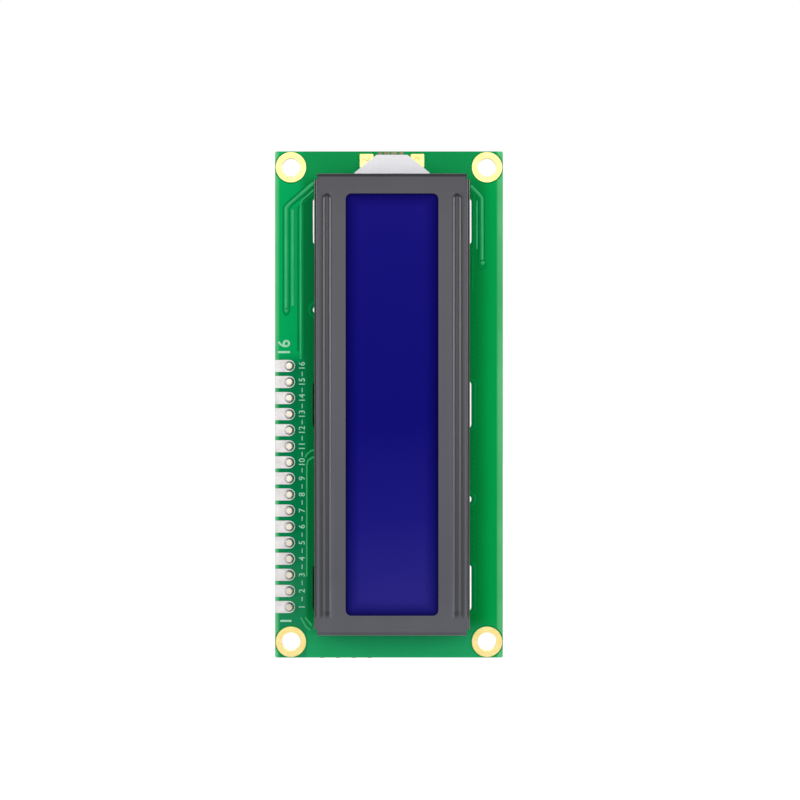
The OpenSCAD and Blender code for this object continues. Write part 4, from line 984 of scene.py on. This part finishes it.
adapterWork = {
    "track": 0.5, "height": 0.03, "ink": 0.34, "fineInk": 0.2, "inkHeight": 0.02, "padHeight": 0.04,
    "chipX": -7.25,
    "leadPitch": 1.27, "numberSize": 2.4, "pinPitch": 2.54,
}
adapterTracks = [
    [(0.05, -20.5), (0.05, -4.0), (-0.6, -3.3), (-0.6, 3.0)],
    [(1.2, -20.0), (1.2, -3.0)],
    [(-13.4, -26.0), (-13.4, -6.0), (-12.6, -5.2), (-12.6, 5.0)],
    [(-12.7, -29.0), (-12.7, -19.0)],
    [(-2.6, -20.0), (-2.6, 3.0)],
]


def adapterPinX(work, i):
    low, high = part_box("serial_header")
    return (low.x + high.x) / 2 / mm + (i - 1.5) * work["pinPitch"]


def makeAdapterTracks(work):
    top = boardFacts["adapterBack"]
    tracks = drawStrips(flip(adapterTracks), work["track"], work["height"])
    spots = drawDiscs(flipPlaces([(0.05, -20.9), (1.2, -20.4), (-2.6, -20.6), (-13.4, -26.4),
        (1.2, -2.4)]), 0.4, work["height"], 16)
    setUp(standBack(joinPieces([tracks, spots]), top), "adapter_tracks", finishes["blackTrack"])


def makeAdapterInk(work):
    top = boardFacts["adapterBack"]
    low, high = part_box("adapter_board")
    left, right = low.x / mm + 0.22, high.x / mm - 0.22
    base, end = low.z / mm + 0.22, high.z / mm - 0.22
    wide = [[(right, base), (right, end), (-6.0, end)], [(-14.45, -31.3), (-14.45, 7.55), (left, 7.55)]]
    wide += [[(left, base), (-14.45, base), (-14.45, -31.3), (left, -31.3)]]
    wide += [[(-11.4, -27.2), (-11.4, -19.7), (-4.0, -19.7)]]
    pinXs = [adapterPinX(work, i) for i in range(4)]
    fine = [[(pinXs[0] - 1.4, -31.3), (pinXs[0] - 1.4, -30.95), (pinXs[3] + 1.4, -30.95),
        (pinXs[3] + 1.4, -31.3)]]
    fine += [[(-2.0, -30.2), (1.4, -26.9)], [(-1.7, -30.6), (1.7, -27.3)]]
    fine += [[(-11.4, 7.4), (-11.4, 3.95), (-5.7, 3.95), (-5.7, 7.4)], [(-8.55, 3.95), (-8.55, 4.2)]]
    for z0, z1 in ((-16.2, -12.8), (-11.5, -8.1), (-7.4, -4.0)):
        fine += bracketPaths(-1.95, 0.35, z0, z1, 0.6)
    for z0, z1 in ((-4.6, -2.55), (-2.45, -0.5), (-0.4, 1.6), (1.7, 3.85)):
        fine += bracketPaths(-6.75, -3.4, z0, z1, 0.5)
    fine += bracketPaths(-11.7, -8.1, -3.75, -1.95, 0.5) + bracketPaths(-11.7, -8.1, -1.75, 0.1, 0.5)
    fine += [[(-10.6, 0.5), (-10.6, 3.75)], [(-7.5, 0.5), (-7.5, 3.75)]]
    closed = [boxPath(-3.4, -0.1, z - 1.0, z + 1.0) for z in (-25.5, -23.3, -21.1)]
    numbers = writeNumbers([(str(i + 1), x, 29.35, work["numberSize"], 0) for i, x in enumerate(pinXs)],
        work["inkHeight"])
    ink = joinPieces([
        drawStrips(flip(wide), work["ink"], work["inkHeight"]),
        drawStrips(flip(fine), work["fineInk"], work["inkHeight"]),
        drawStrips(flip(closed), work["fineInk"], work["inkHeight"], closed=True),
        numbers,
    ])
    setUp(standBack(ink, top + work["height"]), "adapter_ink", finishes["inkGrey"])


def makeAdapterPads(work):
    plates = []
    for z in (-25.5, -23.3, -21.1):
        plates += [(-3.1, -1.85, z - 0.7, z + 0.7), (-1.6, -0.35, z - 0.7, z + 0.7)]
    for i in range(8):
        x = work["chipX"] + (i - 3.5) * work["leadPitch"]
        plates += [(x - 0.34, x + 0.34, -18.2, -15.9), (x - 0.34, x + 0.34, -7.4, -5.4)]
    pads = drawPlates(flipBoxes(plates), work["padHeight"], 0.1)
    setUp(standBack(pads, boardFacts["adapterBack"]), "adapter_pads", finishes["tin"])


def makeAdapterSolder(work):
    # solder drawn up against the chip's feet and the small parts' ends
    top = boardFacts["adapterBack"]
    beads = []
    for i in range(8):
        x = work["chipX"] + (i - 3.5) * work["leadPitch"]
        beads += [roundBit(x, top, -17.0, 0.33, 0.22, 1.6), roundBit(x, top, -6.3, 0.33, 0.22, 1.6)]
    for z in (-14.35, -9.95, -5.55):
        beads += [roundBit(-0.775, top, z + way * 1.1, 0.62, 0.3, 0.6) for way in (-1, 1)]
    for i in range(4):
        z = -3.525 + i * 2.083
        beads += [roundBit(-5.05 + way * 1.1, top, z, 0.45, 0.3, 1.25) for way in (-1, 1)]
    for x, z in ((-10.3, 1.2), (-10.3, 3.1), (-7.8, 2.15)):
        beads.append(roundBit(x, top, z, 0.5, 0.26, 0.8))
    beads += [roundBit(-9.85 + way * 1.15, top, z, 0.42, 0.22, 1.3) for way in (-1, 1) for z in (-2.625,
        -0.825)]
    setUp(joinPieces(beads), "adapter_small_solder", finishes["solder"])


makeAdapterTracks(adapterWork)
makeAdapterInk(adapterWork)
makeAdapterPads(adapterWork)
makeAdapterSolder(adapterWork)
print("adapter work done")

# ---- light, camera and floor


def makeWorld():
    world = bpy.data.worlds.new("studio")
    bpy.context.scene.world = world
    world.use_nodes = True
    tree = world.node_tree
    background = tree.nodes["Background"]
    path = tree.nodes.new("ShaderNodeLightPath")
    seen = mathOf(tree, "MAXIMUM", path.outputs["Is Camera Ray"], path.outputs["Is Transmission Ray"])
    mirrored = mathOf(tree, "MULTIPLY", path.outputs["Is Glossy Ray"],
        lightFacts["shine"] - lightFacts["fill"])
    shaded = mathOf(tree, "ADD", mirrored, lightFacts["fill"])
    tree.links.new(mathOf(tree, "MAXIMUM", shaded, seen), background.inputs["Strength"])
    background.inputs["Color"].default_value = (1, 1, 1, 1)


def addLamp(name, place, size, power, target=(0, 0, 0)):
    lamp = bpy.data.lights.new(name, "AREA")
    lamp.shape = "SQUARE"
    lamp.size = size
    lamp.energy = power
    holder = bpy.data.objects.new(name, lamp)
    bpy.context.scene.collection.objects.link(holder)
    holder.location = place
    holder.rotation_euler = (Vector(target) - Vector(place)).to_track_quat("-Z", "Y").to_euler()


def makeFloor():
    deselectAll()
    bpy.ops.mesh.primitive_plane_add(size=6, location=(0, 0, lightFacts["floor"]))
    floor = bpy.context.object
    floor.name = "floor"
    material = bpy.data.materials.new("paleFloor")
    material.use_nodes = True
    tree = material.node_tree
    shader = tree.nodes["Principled BSDF"]
    output = tree.nodes["Material Output"]
    coords = placeCoords(tree)
    grain = noiseOf(tree, coords, 60, 3)
    tree.links.new(rampOf(tree, grain, [(0.3, (0.86, 0.86, 0.86, 1)), (0.7, (0.88, 0.88, 0.88, 1))]),
        shader.inputs["Base Color"])
    shader.inputs["Roughness"].default_value = 0.9
    shader.inputs["Specular IOR Level"].default_value = 0.0
    glow = tree.nodes.new("ShaderNodeEmission")
    path = tree.nodes.new("ShaderNodeLightPath")
    glow.inputs["Strength"].default_value = 1.22
    seen = mathOf(tree, "MAXIMUM", path.outputs["Is Camera Ray"], path.outputs["Is Transmission Ray"])
    mixer = tree.nodes.new("ShaderNodeMixShader")
    tree.links.new(mathOf(tree, "MULTIPLY", seen, 0.72), mixer.inputs["Fac"])
    tree.links.new(shader.outputs["BSDF"], mixer.inputs[1])
    tree.links.new(glow.outputs["Emission"], mixer.inputs[2])
    tree.links.new(mixer.outputs["Shader"], output.inputs["Surface"])
    floor.data.materials.append(material)


def makeCamera():
    # square on to the display, a little right of and above the board's middle
    camera = bpy.data.cameras.new("camera")
    holder = bpy.data.objects.new("camera", camera)
    bpy.context.scene.collection.objects.link(holder)
    camera.lens = cameraFacts["lens"]
    camera.sensor_width = 36
    camera.clip_start, camera.clip_end = 0.01, 20
    holder.location = (cameraFacts["x"] * mm, -cameraFacts["distance"] * mm, cameraFacts["z"] * mm)
    holder.rotation_euler = (math.radians(90), 0, 0)
    bpy.context.scene.camera = holder


lightFacts = {"fill": 0.6, "shine": 0.5, "floor": -0.0445, "side": 2.6, "head": 3.0}
cameraFacts = {"lens": 104.2, "distance": 366.0, "x": 1.74, "z": 0.71}
makeWorld()
makeFloor()
makeCamera()
for way in (-1, 1):
    addLamp("frontSide", (way * 0.78, -0.72, 0.2), 0.45, lightFacts["side"])
    addLamp("backSide", (way * 0.75, 0.75, 0.35), 0.5, lightFacts["side"])
addLamp("frontHead", (0.0, -1.15, 0.35), 0.8, lightFacts["head"])
addLamp("backHead", (0.1, 1.1, 0.45), 0.8, lightFacts["head"])
bpy.context.scene.view_settings.view_transform = "Standard"

for profile in profiles.values():
    bpy.data.objects.remove(profile)
